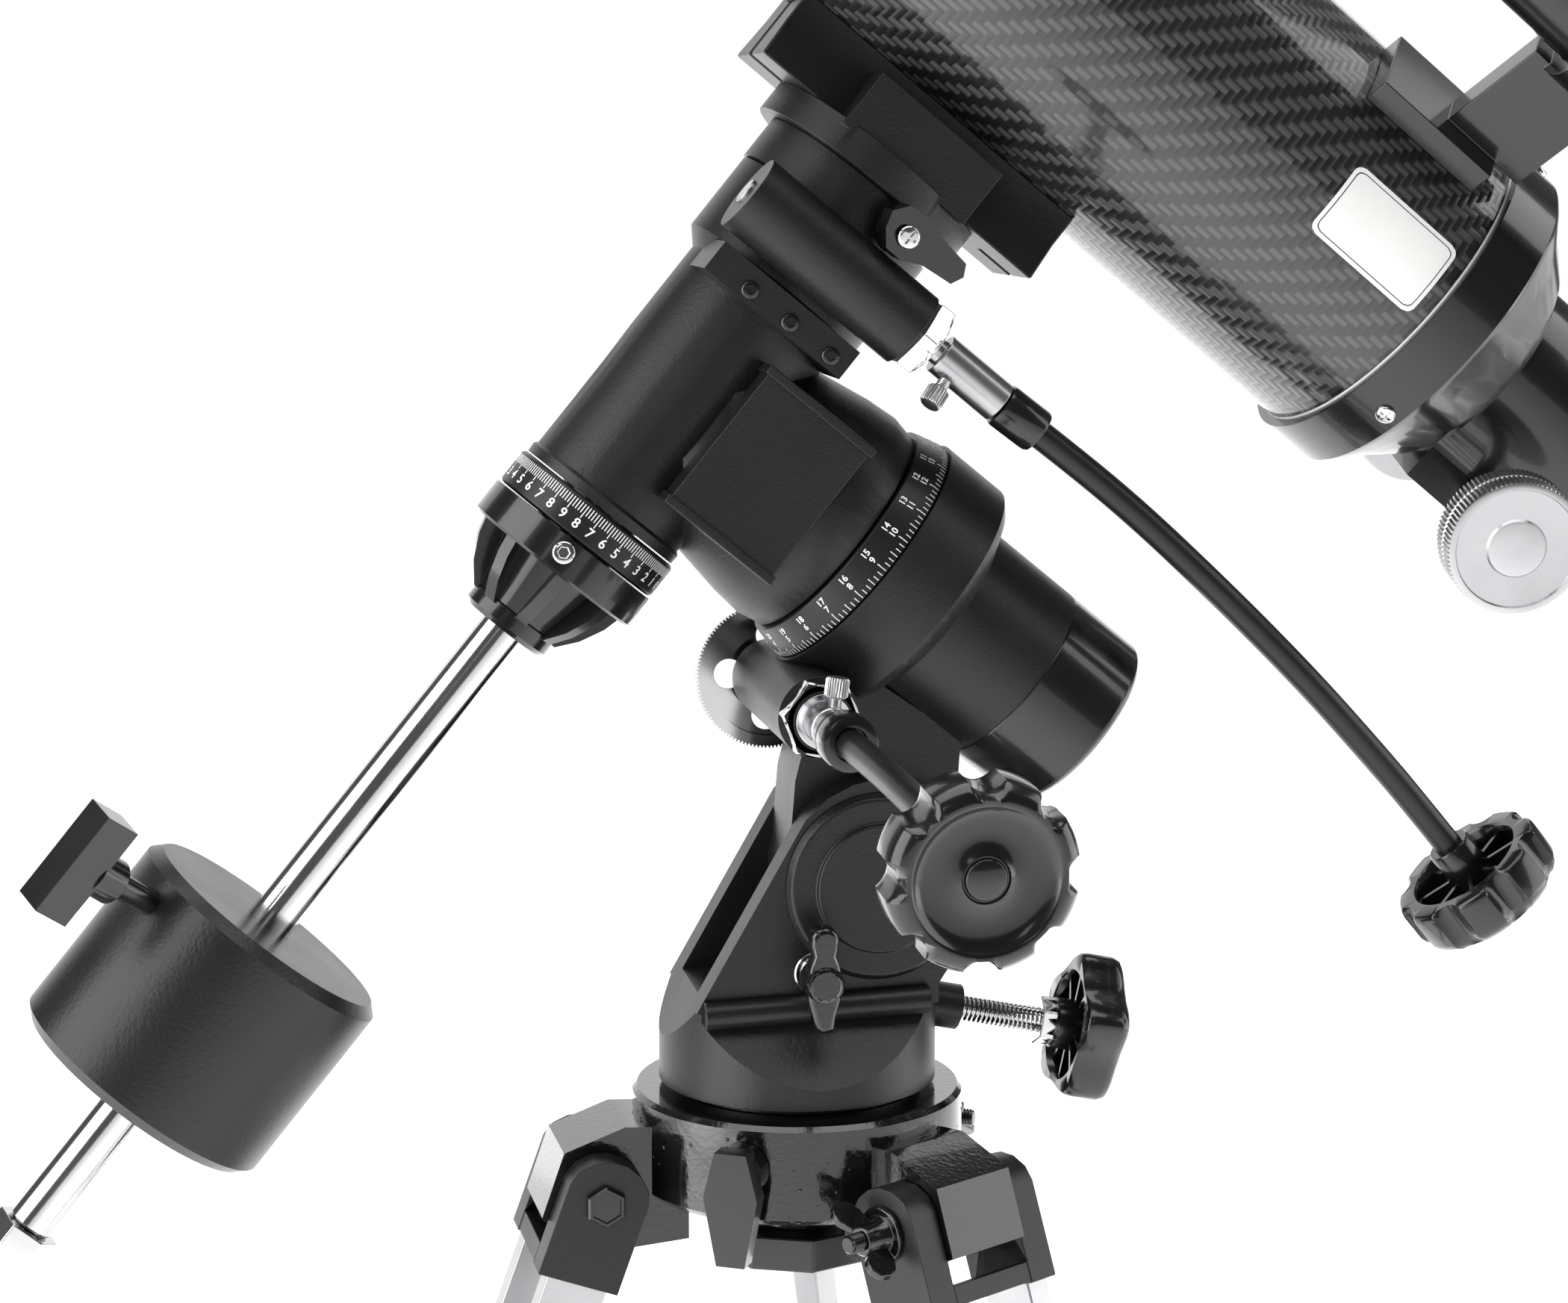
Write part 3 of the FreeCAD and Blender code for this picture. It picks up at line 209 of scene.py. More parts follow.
# %% A finish with grain
def finish(name, colour, roughness, grain=(), metallic=0.0, coat=0.0, vary=0.06, patch=25, tint=0.25):
    """grain holds (size mm, height mm, detail) layers; patch is the size in mm of the uneven gloss."""
    material = bpy.data.materials.new(name)
    material.use_nodes = True
    tree = material.node_tree
    shader = tree.nodes["Principled BSDF"]
    shader.inputs["Metallic"].default_value = metallic
    shader.inputs["Coat Weight"].default_value = coat
    shader.inputs["Coat Roughness"].default_value = 0.06
    shader.inputs["Specular IOR Level"].default_value = 0.5 if metallic else 0.38
    where = tree.nodes.new("ShaderNodeTexCoord")
    patchy = tree.nodes.new("ShaderNodeTexNoise")
    patchy.inputs["Scale"].default_value = 1000 / patch
    patchy.inputs["Detail"].default_value = 4
    tree.links.new(where.outputs["Object"], patchy.inputs["Vector"])
    gloss = tree.nodes.new("ShaderNodeMapRange")
    gloss.inputs["To Min"].default_value = max(0.02, roughness - vary)
    gloss.inputs["To Max"].default_value = roughness + vary
    tree.links.new(patchy.outputs["Fac"], gloss.inputs["Value"])
    tree.links.new(gloss.outputs["Result"], shader.inputs["Roughness"])
    shade = tree.nodes.new("ShaderNodeMix")
    shade.data_type = "RGBA"
    shade.inputs["A"].default_value = (*[c * (1 - tint) for c in colour], 1)
    shade.inputs["B"].default_value = (*[min(1, c * (1 + tint)) for c in colour], 1)
    tree.links.new(patchy.outputs["Fac"], shade.inputs["Factor"])
    tree.links.new(shade.outputs["Result"], shader.inputs["Base Color"])
    last = None
    for size, height, detail in grain:
        noise = tree.nodes.new("ShaderNodeTexNoise")
        noise.inputs["Scale"].default_value = 1000 / size
        noise.inputs["Detail"].default_value = detail
        tree.links.new(where.outputs["Object"], noise.inputs["Vector"])
        bump = tree.nodes.new("ShaderNodeBump")
        bump.inputs["Distance"].default_value = height * MM
        bump.inputs["Strength"].default_value = 1
        tree.links.new(noise.outputs["Fac"], bump.inputs["Height"])
        if last:
            tree.links.new(last.outputs["Normal"], bump.inputs["Normal"])
        last = bump
    if last:
        tree.links.new(last.outputs["Normal"], shader.inputs["Normal"])
    return material


# %% The finishes of this telescope
FINISH = {
    "powder": finish("powder_paint", (0.006, 0.006, 0.0063), 0.38, [(0.9, 0.07, 2), (0.35, 0.03, 1)]),
    "coarse": finish("coarse_cast_paint", (0.010, 0.010, 0.0105), 0.40, [(2.2, 0.24, 3), (0.5, 0.05, 1)]),
    "enamel": finish("poured_enamel", (0.004, 0.004, 0.0043), 0.14, [(1.6, 0.10, 1)], coat=0.6, vary=0.04),
    "gloss": finish("gloss_plastic", (0.005, 0.005, 0.0053), 0.22, [(3.0, 0.02, 2)], coat=0.4, vary=0.05),
    "grained": finish("grained_plastic", (0.009, 0.009, 0.0095), 0.42, [(0.5, 0.05, 1)]),
    "skin": finish("cable_skin", (0.007, 0.007, 0.0073), 0.34, [(0.8, 0.02, 2)]),
    "rubber": finish("foot_rubber", (0.028, 0.028, 0.028), 0.75, [(0.6, 0.05, 2)]),
    "silver": finish("anodised_leg", (0.44, 0.44, 0.45), 0.36, [(0.25, 0.008, 1)], metallic=0.85,
                     vary=0.05),
    "bright": finish("bright_steel", (0.56, 0.56, 0.57), 0.12, [(0.4, 0.004, 1)], metallic=1.0, vary=0.03),
    "satin": finish("satin_steel", (0.42, 0.42, 0.43), 0.28, [(0.3, 0.01, 1)], metallic=1.0),
    "dial": finish("dial_black", (0.006, 0.006, 0.0063), 0.36, [(0.5, 0.02, 1)]),
    "white": finish("dial_white", (0.75, 0.75, 0.74), 0.5, [(0.4, 0.01, 1)], tint=0.04),
    "weight": finish("weight_paint", (0.007, 0.007, 0.0073), 0.34, [(1.3, 0.09, 2), (0.4, 0.03, 1)]),
}
glass = plain("coated_glass", (0.85, 0.95, 0.9), 0.02)
glass.node_tree.nodes["Principled BSDF"].inputs["Transmission Weight"].default_value = 1.0
FINISH["glass"] = glass
print(len(FINISH), "finishes")

# %% [markdown]
# ## Dressing the working parts
# The loaded parts have the right shape but knife edges, and real castings never do. Three modifiers
# mend that without touching the mesh: weld the split corners, dissolve the flat triangles into whole
# faces, then bevel every sharp edge. Rounded edges catch the panel lights as thin bright lines.


# %% Rounded edges and a finish for each part
def soften(thing, width, segments=3, angle=28):
    """Welds, merges flat faces and rounds the edges sharper than angle."""
    weld = thing.modifiers.new("weld", "WELD")
    weld.merge_threshold = 0.00001
    flat = thing.modifiers.new("flat", "DECIMATE")
    flat.decimate_type = "DISSOLVE"
    flat.angle_limit = math.radians(1.5)
    edge = thing.modifiers.new("edge", "BEVEL")
    edge.width = width * MM
    edge.segments = segments
    edge.limit_method = "ANGLE"
    edge.angle_limit = math.radians(angle)
    edge.harden_normals = False
    for face in thing.data.polygons:
        face.use_smooth = True
    even = thing.modifiers.new("even", "WEIGHTED_NORMAL")
    even.keep_sharp = False
    even.weight = 80


def dress(names, look, width=0.5, angle=28):
    for name in names.split():
        thing = nodes[name]
        thing.data.materials.clear()
        thing.data.materials.append(FINISH[look])
        if width:
            soften(thing, width, angle=angle)


LEGS = (1, 2, 3)


def each(*names):
    return " ".join("%s_%d" % (name, i) for name in names for i in LEGS)


dress("mount_base polar_housing dec_housing saddle_head dovetail_bar ra_worm_housing", "powder", 0.8)
dress("dec_worm_block latitude_bolt", "powder", 0.8)
dress("tripod_hub", "enamel", 1.2)
dress("mount_bolt azimuth_lock polar_cap dec_nose counterweight_screw", "gloss", 0.8)
dress("lens_cell focuser_body finder_bracket finder_scope dew_shield", "gloss", 0.6)
dress(each("leg_bracket", "leg_collar", "brace") + " accessory_tray", "grained", 0.7)
dress(each("leg_knob"), "gloss", 0.7)
dress(each("leg_rails", "lower_leg"), "silver", 0.6)
dress(each("foot"), "rubber", 1.5)
dress("ra_circle dec_circle", "dial", 0.3)
dress("counterweight", "weight", 0.8)
dress("counterweight_shaft shaft_end_bolt", "bright", 0.4)
dress("leg_bolts", "enamel", 0)
dress("dec_clamp_lever", "enamel", 0.6)
dress("dec_worm_shaft drawtube", "satin", 0.4)
dress("ra_cable dec_cable tube latitude_screw latitude_lock ra_worm_shaft focus_knobs ra_knob dec_knob",
      "gloss", 0)
dress("objective_lens", "glass", 0.0)
base = nodes["mount_base"]
base.data.materials.append(FINISH["coarse"])
base.modifiers["flat"].delimit = {"NORMAL", "MATERIAL"}
for face in base.data.polygons:
    if 0.6 < abs(face.normal.y) < 0.8 and 0.6 < abs(face.normal.z) < 0.8 and abs(face.normal.x) < 0.02:
        face.material_index = 1
print("dressed", len(nodes), "parts")

# %% [markdown]
# ## Tools for small pieces
# Nearly every fine part of a mount was made on a lathe or cut from plate. So two small functions do most
# of the work: one spins a list of radius and height pairs, and one draws an outline out to a thickness.
# A radius may also be a rule that depends on the angle. That one idea gives lobes, knurls, sockets and
# screw threads without any cutting tool.


# %% Lathe, plate and piece
def turned(form, place, profile, steps=48, start=0.0):
    """Spins (radius, height) pairs, in millimetres, about the Z of place; a radius may be a rule."""
    rows = []
    for radius, height in profile:
        ring = []
        for k in range(steps):
            angle = start + math.tau * k / steps
            reach = radius(angle) if callable(radius) else radius
            ring.append(form.verts.new(place @ (MM * Vector((reach * math.cos(angle),
                                                             reach * math.sin(angle), height)))))
        rows.append(ring)
    for low, high in zip(rows, rows[1:]):
        for k in range(steps):
            form.faces.new((low[k], low[k - 1], high[k - 1], high[k]))
    form.faces.new(rows[0])
    form.faces.new(rows[-1][::-1])


def plate(form, place, outline, low, high):
    """Draws an (x, y) outline out from low to high along the Z of place."""
    rows = [[form.verts.new(place @ (MM * Vector((x, y, z)))) for x, y in outline] for z in (low, high)]
    for k in range(len(outline)):
        form.faces.new((rows[0][k - 1], rows[0][k], rows[1][k], rows[1][k - 1]))
    form.faces.new(rows[0][::-1])
    form.faces.new(rows[1])


def bar(form, place, low, high):
    plate(form, place, [(low[0], low[1]), (high[0], low[1]), (high[0], high[1]), (low[0], high[1])], low[2],
          high[2])


def piece(name, body, look, form, width=0.0, swaps=(), angle=32):
    """Closes a form into an object with a finish, rounded edges and a body to ride on."""
    bmesh.ops.recalc_face_normals(form, faces=form.faces)
    mesh = bpy.data.meshes.new(name)
    form.to_mesh(mesh)
    form.free()
    mesh.materials.append(FINISH[look])
    for face in mesh.polygons:
        face.use_smooth = True
    mesh.set_sharp_from_angle(angle=math.radians(angle))
    thing = bpy.data.objects.new(name, mesh)
    bpy.context.scene.collection.objects.link(thing)
    if width:
        edge = thing.modifiers.new("edge", "BEVEL")
        edge.width = width * MM
        edge.segments = 3
        edge.limit_method = "ANGLE"
        edge.angle_limit = math.radians(angle)
        thing.modifiers.new("even", "WEIGHTED_NORMAL").keep_sharp = False
    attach(thing, body)
    if swaps:
        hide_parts(*swaps)
    return thing


def hexagon(radius):
    """Rule for a six-sided outline; radius is to the corners."""
    return lambda angle: radius * math.cos(math.pi / 6) / math.cos(angle % (math.pi / 3) - math.pi / 6)


def crossed(reach, width):
    """Rule for the cross in a screw head."""
    def rule(angle):
        off = (angle + math.pi / 4) % (math.pi / 2) - math.pi / 4
        return min(reach / math.cos(off), width / 2 / max(1e-6, abs(math.sin(off))))
    return rule


def knurled(radius, depth, count):
    return lambda angle: radius - depth * abs(math.sin(count * angle / 2))


def thread(form, place, radius, pitch, depth, low, high, steps=32):
    """A real helix: at each height the crest has turned a little further round."""
    rows = []
    for k in range(int((high - low) * 6 / pitch) + 1):
        height = low + k * pitch / 6
        rows.append((lambda a, h=height: radius - depth * abs(1 - 2 * ((h / pitch - a / math.tau) % 1)),
                     height))
    turned(form, place, rows, steps)


def screw(form, place, radius, height, drive):
    """A round screw head with a driven recess, standing on the XY plane of place."""
    deeper = (lambda a: 0.8 * drive(a))
    turned(form, place, [(radius, -0.6), (radius, 0.55 * height), (0.93 * radius, 0.82 * height),
                         (0.8 * radius, height),
                         (drive, height), (deeper, 0.35 * height)], 96)


print("tools ready")

# %% [markdown]
# ## Dials
# The hour circle and the declination circle carry white marks. Each mark is a thin raised bar and each
# number is a text curve turned into a mesh, laid on the ring with its top towards the casting. A ring's
# marks are one object, so they turn together when the ring is set.


# %% Numbers and ticks
def number(form, text, size, matrix):
    curve = bpy.data.curves.new("number", "FONT")
    curve.body = text
    curve.size = size * MM
    curve.align_x, curve.align_y = "CENTER", "CENTER"
    curve.extrude = 0.04 * MM
    curve.offset = 0.06 * MM
    curve.resolution_u = 3
    holder = bpy.data.objects.new("number", curve)
    mesh = bpy.data.meshes.new_from_object(holder)
    mesh.transform(matrix)
    form.from_mesh(mesh)
    bpy.data.objects.remove(holder)


def on_ring(frame, radius, angle, height, tip=0.0):
    """A frame on a ring's skin: Z straight out, Y along the ring's axis, leaning by tip on a cone."""
    out = Vector((math.cos(angle), math.sin(angle), 0))
    up = Vector((0, 0, 1))
    z = out * math.cos(tip) + up * math.sin(tip)
    y = up * math.cos(tip) - out * math.sin(tip)
    matrix = Matrix((y.cross(z), y, z)).transposed().to_4x4()
    matrix.translation = MM * (out * radius + up * height)
    return frame @ matrix


RING_TOP, RING_LOW = (38.6, -62.2), (40.7, -70.4)
lean = math.atan2(RING_LOW[0] - RING_TOP[0], RING_TOP[1] - RING_LOW[1])


def ring_spot(angle, station):
    share = (RING_TOP[1] - station) / (RING_TOP[1] - RING_LOW[1])
    return on_ring(polar(), RING_TOP[0] + share * (RING_LOW[0] - RING_TOP[0]) + 0.03, angle, station, lean)


FIFTEEN_AT = -92
marks = bmesh.new()
for hour in range(24):
    angle = math.radians(FIFTEEN_AT + 15 * (15 - hour))
    number(marks, str(hour), 2.9, ring_spot(angle, -64.6))
    number(marks, str(24 - hour if hour else 0), 2.9, ring_spot(angle, -67.3))
for k in range(144):
    angle = math.radians(FIFTEEN_AT + 2.5 * k)
    bar(marks, on_ring(polar(), RING_LOW[0] + 0.02, angle, -72.4), (-0.14, 0, -0.05), (0.14, 1.9, 0.04))
    if k % 3 == 0:
        bar(marks, ring_spot(angle, -70.4), (-0.14, 0, -0.05), (0.14, 1.4 if k % 6 == 0 else 0.7, 0.04))
piece("ra_marks", "ra_circle", "white", marks)

DEC_RING, NINE_AT = 28.82, -115
marks = bmesh.new()
for k in range(36):
    angle = math.radians(NINE_AT + 10 * k)
    step = k % 18
    number(marks, str(9 - step if step <= 9 else step - 9), 4.3, on_ring(dec(), DEC_RING, angle, -47.6))
for k in range(180):
    tall = 4.2 if k % 5 == 0 else 2.9
    bar(marks, on_ring(dec(), DEC_RING, math.radians(NINE_AT + 2 * k), -41.3), (-0.15, -tall, -0.05),
        (0.15, 0, 0.05))
piece("dec_marks", "dec_circle", "white", marks)
print("dials marked")

# %% [markdown]
# ## The slow-motion drive
# The wheel on the worm is plated steel: a thick toothed rim, a thin web with four round holes and a hub.
# A hole is easiest in a filled flat curve, because a curve drawn inside another is left open.


# %% Gear wheel, nuts and ferrules
def pierced(form, place, outlines, low, high):
    """A plate with holes: the first outline is the edge and each other one is a hole."""
    curve = bpy.data.curves.new("pierced", "CURVE")
    curve.dimensions = "2D"
    curve.fill_mode = "BOTH"
    curve.extrude = (high - low) / 2 * MM
    for outline in outlines:
        line = curve.splines.new("POLY")
        line.points.add(len(outline) - 1)
        for point, (x, y) in zip(line.points, outline):
            point.co = (x * MM, y * MM, 0, 1)
        line.use_cyclic_u = True
    holder = bpy.data.objects.new("pierced", curve)
    mesh = bpy.data.meshes.new_from_object(holder)
    mesh.transform(place @ Matrix.Translation((0, 0, (low + high) / 2 * MM)))
    form.from_mesh(mesh)
    bpy.data.objects.remove(holder)


def circle(radius, x=0.0, y=0.0, steps=40):
    return [(x + radius * math.cos(math.tau * k / steps),
             y + radius * math.sin(math.tau * k / steps)) for k in range(steps)]


WORM = Vector(JOINTS["ra_worm_turn"]["pos_m"])
worm_side = stand(WORM, (0, -1, 0), DEC)
wheel = bmesh.new()
TEETH = 120
teeth = []
for k in range(4 * TEETH):
    reach = 23.7 if k % 4 in (0, 1) else 22.9
    teeth.append((reach * math.cos(math.tau * k / 4 / TEETH), reach * math.sin(math.tau * k / 4 / TEETH)))
pierced(wheel, worm_side, [teeth, circle(19.6)], -43, -38)
holes = [circle(4.8, 13 * math.cos(math.tau * (k + 0.4) / 4),
                13 * math.sin(math.tau * (k + 0.4) / 4)) for k in range(4)]
pierced(wheel, worm_side, [circle(20.2)] + holes, -41.6, -39.6)
turned(wheel, worm_side, [(6.8, -44), (7.4, -43.4), (7.4, -38.4), (6.8, -37.8), (4.02, -37.8), (4.02,
        -36.8)])
piece("ra_wheel", "ra_worm", "bright", wheel, 0.25, ("ra_worm_shaft",))
shaft = bmesh.new()
turned(shaft, worm_side, [(4, -46), (4, 50), (6.0, 57), (6.4, 57.4), (6.4, 62), (6.1, 62.3), (6.1, 72),
                          (6.4, 72.3), (6.4, 74.6)])
piece("ra_drive_shaft", "ra_worm", "satin", shaft)
WORM_DEC = Vector(JOINTS["dec_worm_turn"]["pos_m"])
dec_side = stand(WORM_DEC, -POLAR, (0, -1, 0))
for name, body, axle, low in (("ra_worm_nut", "polar_body", worm_side, 42.1),
                              ("dec_worm_nut", "dec_body", dec_side, 35.1)):
    nut = bmesh.new()
    turned(nut, axle, [(hexagon(12.3), low), (hexagon(12.6), low + 0.4), (hexagon(12.6), low + 4.9), (10.9,
            low + 5.9),
                         (8.9, low + 5.9), (8.9, low + 5.2), (8.3, low + 5.2), (8.3, low + 6.9),
                         (6.4, low + 6.9),
                         (6.2, low + 6.2), (4.2, low + 6.2)], 96)
    piece(name, body, "bright", nut, 0.2)


def thumb_screw(name, body, place):
    """A knurled head on a short thread."""
    form = bmesh.new()
    rim = knurled(3.5, 0.35, 28)
    thread(form, place, 2.0, 0.7, 0.3, 4.2, 9.6)
    turned(form, place, [(2.7, 9.2), (rim, 9.8), (rim, 14.6), (3.0, 15.2), (2.2, 15.4)], 112)
    piece(name, body, "satin", form)


thumb_screw("ra_thumb_screw", "ra_worm", worm_side @ stand((0, 0, 60 * MM), (0.8, 0.5, 0), (0, 0, 1)))
thumb_screw("dec_thumb_screw", "dec_worm", dec_side @ stand((0, 0, 51 * MM), (0.35, 0.94, 0), (0, 0, 1)))
print("drive parts made")

# %% [markdown]
# ## Flexible cables
# A slow-motion cable is a wound steel core in a smooth black skin. It is stiff, so it leaves its ferrule
# dead straight and then droops under the knob's weight. The line is a NURBS spline through a few listed
# points, with a round bevel for thickness.


# %% Cables, sleeves and hand knobs
CABLE = 8.8


def hand_knob(name, body, node, place):
    """Eight lobes, a dished face with a cap, and a ribbed hollow behind."""
    form = bmesh.new()

    def lobes(radius, dip):
        return lambda a: radius - dip * max(0.0, math.cos(8 * a)) ** 0.7

    turned(form, place, [(5.4, 0), (6.6, 0), (7.0, 0.5), (7.1, 9), (7.6, 18.6), (17.2, 19.0), (18.0, 9.2),
                         (18.6, 8.4),
                         (lobes(23.6, 2.4), 8.3), (lobes(24.6, 3.1), 9.2), (lobes(25, 3.4), 11),
                         (lobes(25, 3.4), 20.2),
                         (lobes(24.4, 3.2), 22.2), (lobes(22.6, 2.2), 24.2), (20.6, 25), (19.6, 25),
                         (18.8, 24.6), (18.0, 23.4),
                         (15.5, 22.6), (11.5, 22.2), (8.6, 22.4), (7.0, 23.2), (6.3, 23.6), (5.9, 23.0),
                         (5.6, 23.0),
                         (5.3, 23.9), (4.9, 24.2)], 192)
    for k in range(8):
        turn = place @ Matrix.Rotation(math.tau * (k + 0.5) / 8, 4, "Z")
        bar(form, turn, (6.9, -0.7, 11), (18.2, 0.7, 19.2))
    return piece(name, body, "gloss", form, 0.0, (node,), 50)


def flex(name, body, node, points):
    curve = bpy.data.curves.new(name, "CURVE")
    curve.dimensions = "3D"
    line = curve.splines.new("NURBS")
    line.points.add(len(points) - 1)
    for point, spot in zip(line.points, points):
        point.co = (*spot, 1)
    line.order_u = 3
    line.use_endpoint_u = True
    line.resolution_u = 16
    centre = bpy.data.objects.new(name + "_line", curve)
    mesh = bpy.data.meshes.new_from_object(centre)
    bpy.data.objects.remove(centre)
    curve.bevel_depth = CABLE / 2 * MM
    curve.bevel_resolution = 8
    curve.use_fill_caps = True
    curve.materials.append(FINISH["skin"])
    thing = bpy.data.objects.new(name, curve)
    bpy.context.scene.collection.objects.link(thing)
    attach(thing, body)
    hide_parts(node)


RA_ROUTE = [(0, -0.075, 0), (0.0003, -0.104, -0.0002), (0.001, -0.138, -0.001), (0.002, -0.172, -0.003),
            (0.003, -0.203, -0.006)]
DEC_ROUTE = [(0, 0), (0.028, 0.001), (0.054, 0.001), (0.080, -0.0004), (0.107, -0.0024), (0.133, -0.005),
             (0.158, -0.0084), (0.181, -0.012), (0.202, -0.016)]
ra_line = [WORM + Vector(step) for step in RA_ROUTE]
dec_start = WORM_DEC - POLAR * 0.069
dec_line = [dec_start - POLAR * run + DEC * drop for run, drop in DEC_ROUTE]

ra_knob = hand_knob("ra_hand_knob", "ra_knob", "ra_knob",
                    stand(ra_line[-1], ra_line[-1] - ra_line[-2], (0, 0, 1)))
dec_knob = hand_knob("dec_hand_knob", "dec_knob", "dec_knob",
                     stand(dec_line[-1], dec_line[-1] - dec_line[-2], (0, 1, 0)))
for name, body, line, radius, long in (("ra_sleeve", "polar_body", ra_line, 8.4, 12),
                                       ("dec_sleeve", "dec_body", dec_line, 7.0, 15)):
    form = bmesh.new()
    turned(form, stand(line[0], line[1] - line[0]),
           [(radius - 1.4, 0.1), (radius - 0.3, 0.3), (radius, 1.2), (radius, long - 1.4),
                                                     (radius - 0.4, long - 0.4), (radius - 1.2, long),
                                                     (CABLE / 2 + 0.7, long),
                                                     (CABLE / 2 + 0.3, long - 2)], 64)
    piece(name, body, "gloss", form)
flex("ra_flex", "polar_body", "ra_cable", ra_line)
flex("dec_flex", "dec_body", "dec_cable", dec_line)

# %% [markdown]
# ## Latitude screw and lock
# The screw that sets the latitude is a real thread with a five-lobed cup on its end. The lock beside it is
# a small enamelled lever: an outline with soft corners, a round hub through it and a bare thread behind.

# %% Latitude screw and its knob
MOUTH = Vector((0.052, 0, hub_top + 0.0211))
SCREW_WAY = Vector(JOINTS["latitude_screw_turn"]["axis"])
screw_frame = stand(MOUTH, SCREW_WAY, (0, 0, 1))
form = bmesh.new()
thread(form, screw_frame, 4.2, 1.5, 0.55, -24, 31)
turned(form, screw_frame, [(3.6, -24.9), (3.9, -24), (3.4, -23.4)])
turned(form, screw_frame, [(hexagon(7.6), 26.6), (hexagon(8.0), 27), (hexagon(8.0), 31), (6.9, 31.6)], 96)
piece("latitude_thread", "latitude_screw", "bright", form, 0.0, ("latitude_screw",))


def five(radius, dip):
    return lambda a: radius - dip * (0.5 - 0.5 * math.cos(5 * a)) ** 0.8


form = bmesh.new()
turned(form, screw_frame, [(6.5, 31.4), (8, 32), (8.2, 38), (9, 43.5), (16.4, 44.2), (17.2, 37), (17.8,
        36.2), (five(22.6, 3.6), 36.1),
                           (five(23.6, 4.4), 37), (five(24, 4.6), 39), (five(24, 4.6), 47),
                           (five(23.2, 4.4), 49.4), (five(21.4, 3.8), 50.6),
                           (17, 51), (16.2, 50.7), (15.4, 49.6), (8, 49), (5, 49.2)], 180)
for k in range(10):
    bar(form, screw_frame @ Matrix.Rotation(math.tau * k / 10, 4, "Z"), (7.6, -0.6, 38), (17.4, 0.6, 44.4))
piece("latitude_grip", "latitude_screw", "gloss", form, 0.0, (), 50)

# %% Latitude lock lever
lock = stand(JOINTS["latitude_lock_turn"]["pos_m"], (0, -1, 0), (1, 0, 0))
form = bmesh.new()
LEVER = [(5.7, 0), (4.7, 5.6), (3.5, 8.8), (4.2, 12), (4.2, 15), (2.6, 17.2), (0, 17.9), (-2.6, 17.3),
         (-4.3, 15.2), (-4.4, 12.2),
         (-3.6, 9), (-4.9, 5.6), (-5.8, 0), (-5.1, -5.6), (-3.7, -11), (-2.9, -13.8), (-1.2, -15.2),
         (1.4, -15.2), (2.9, -13.8),
         (3.4, -10), (4.9, -5)]
plate(form, lock, LEVER, 9.4, 17.2)
piece("lock_lever", "latitude_lock", "enamel", form, 2.0, ("latitude_lock",), 55)
form = bmesh.new()
turned(form, lock, [(5.2, 6.2), (6.2, 7), (6.4, 11), (5.9, 17), (5.2, 18.2), (4.6, 18.4), (4.3, 18.1)], 64)
piece("lock_hub", "latitude_lock", "enamel", form)
form = bmesh.new()
thread(form, lock, 3.9, 1.25, 0.5, 0.2, 7)
turned(form, lock, [(6.2, 0.1), (6.6, 0.4), (6.6, 1.4), (6.2, 1.7)])
piece("lock_thread", "latitude_lock", "bright", form)
print("latitude parts made")

# %% [markdown]
# ## Side panels, screws and nuts
# The casting between the two axes has a flat panel on each side with a raised rail above and below. Small
# fasteners finish the job: they are what the eye uses to judge size.

# %% Side panels
for side in (-1, 1):
    form = bmesh.new()
    panel = stand(CENTRE, SIDE * side, -POLAR)
    up = 1 if side > 0 else -1
    low, high = sorted((-22 * up, 26 * up))
    bar(form, panel, (8, low, 20), (47, high, 38.0))
    for t_low, t_high in ((23.4, 26.4), (-24.6, -21.6)):
        rail = sorted((t_low * up, t_high * up))
        bar(form, panel, (7, rail[0], 20), (48, rail[1], 39.0))
    piece("side_panel_%s" % ("near" if side < 0 else "far"), "dec_body", "powder", form, 0.5)

# %% Screws and sockets
form = bmesh.new()
for x in (-11.4, 3.9, 19.6):
    screw(form, stand(CENTRE + MM * (37.6 * DEC - x * POLAR - 36 * SIDE), (0, -1, 0), -POLAR), 2.7, 1.1,
          hexagon(1.5))
piece("worm_pad_screws", "dec_body", "gloss", form)
form = bmesh.new()
screw(form, dec() @ stand(MM * Vector((-5, -28.9, -56.6)), (-0.17, -1, 0), (0, 0, 1)), 3.3, 0.7,
      hexagon(2.1))
piece("collar_screw", "dec_body", "bright", form)
form = bmesh.new()
for k in range(3):
    angle = math.radians(-132.3 + 120 * k)
    screw(form, on_ring(tube(), 57, angle, -164), 3.1, 1.3, crossed(2.0, 0.8))
piece("cell_screws", "optical_tube", "bright", form)
lever_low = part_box("dec_clamp_lever")[0].y
lever_axis = JOINTS["dec_lever_turn"]
form = bmesh.new()
way = Vector(lever_axis["axis"])
hub = Vector(lever_axis["pos_m"])
screw(form, stand(hub + way * ((lever_low - hub.y) / way.y - 0.0003), way, DEC), 3.4, 1.2,
      crossed(2.2, 0.8))
piece("lever_screw", "dec_lever", "bright", form)

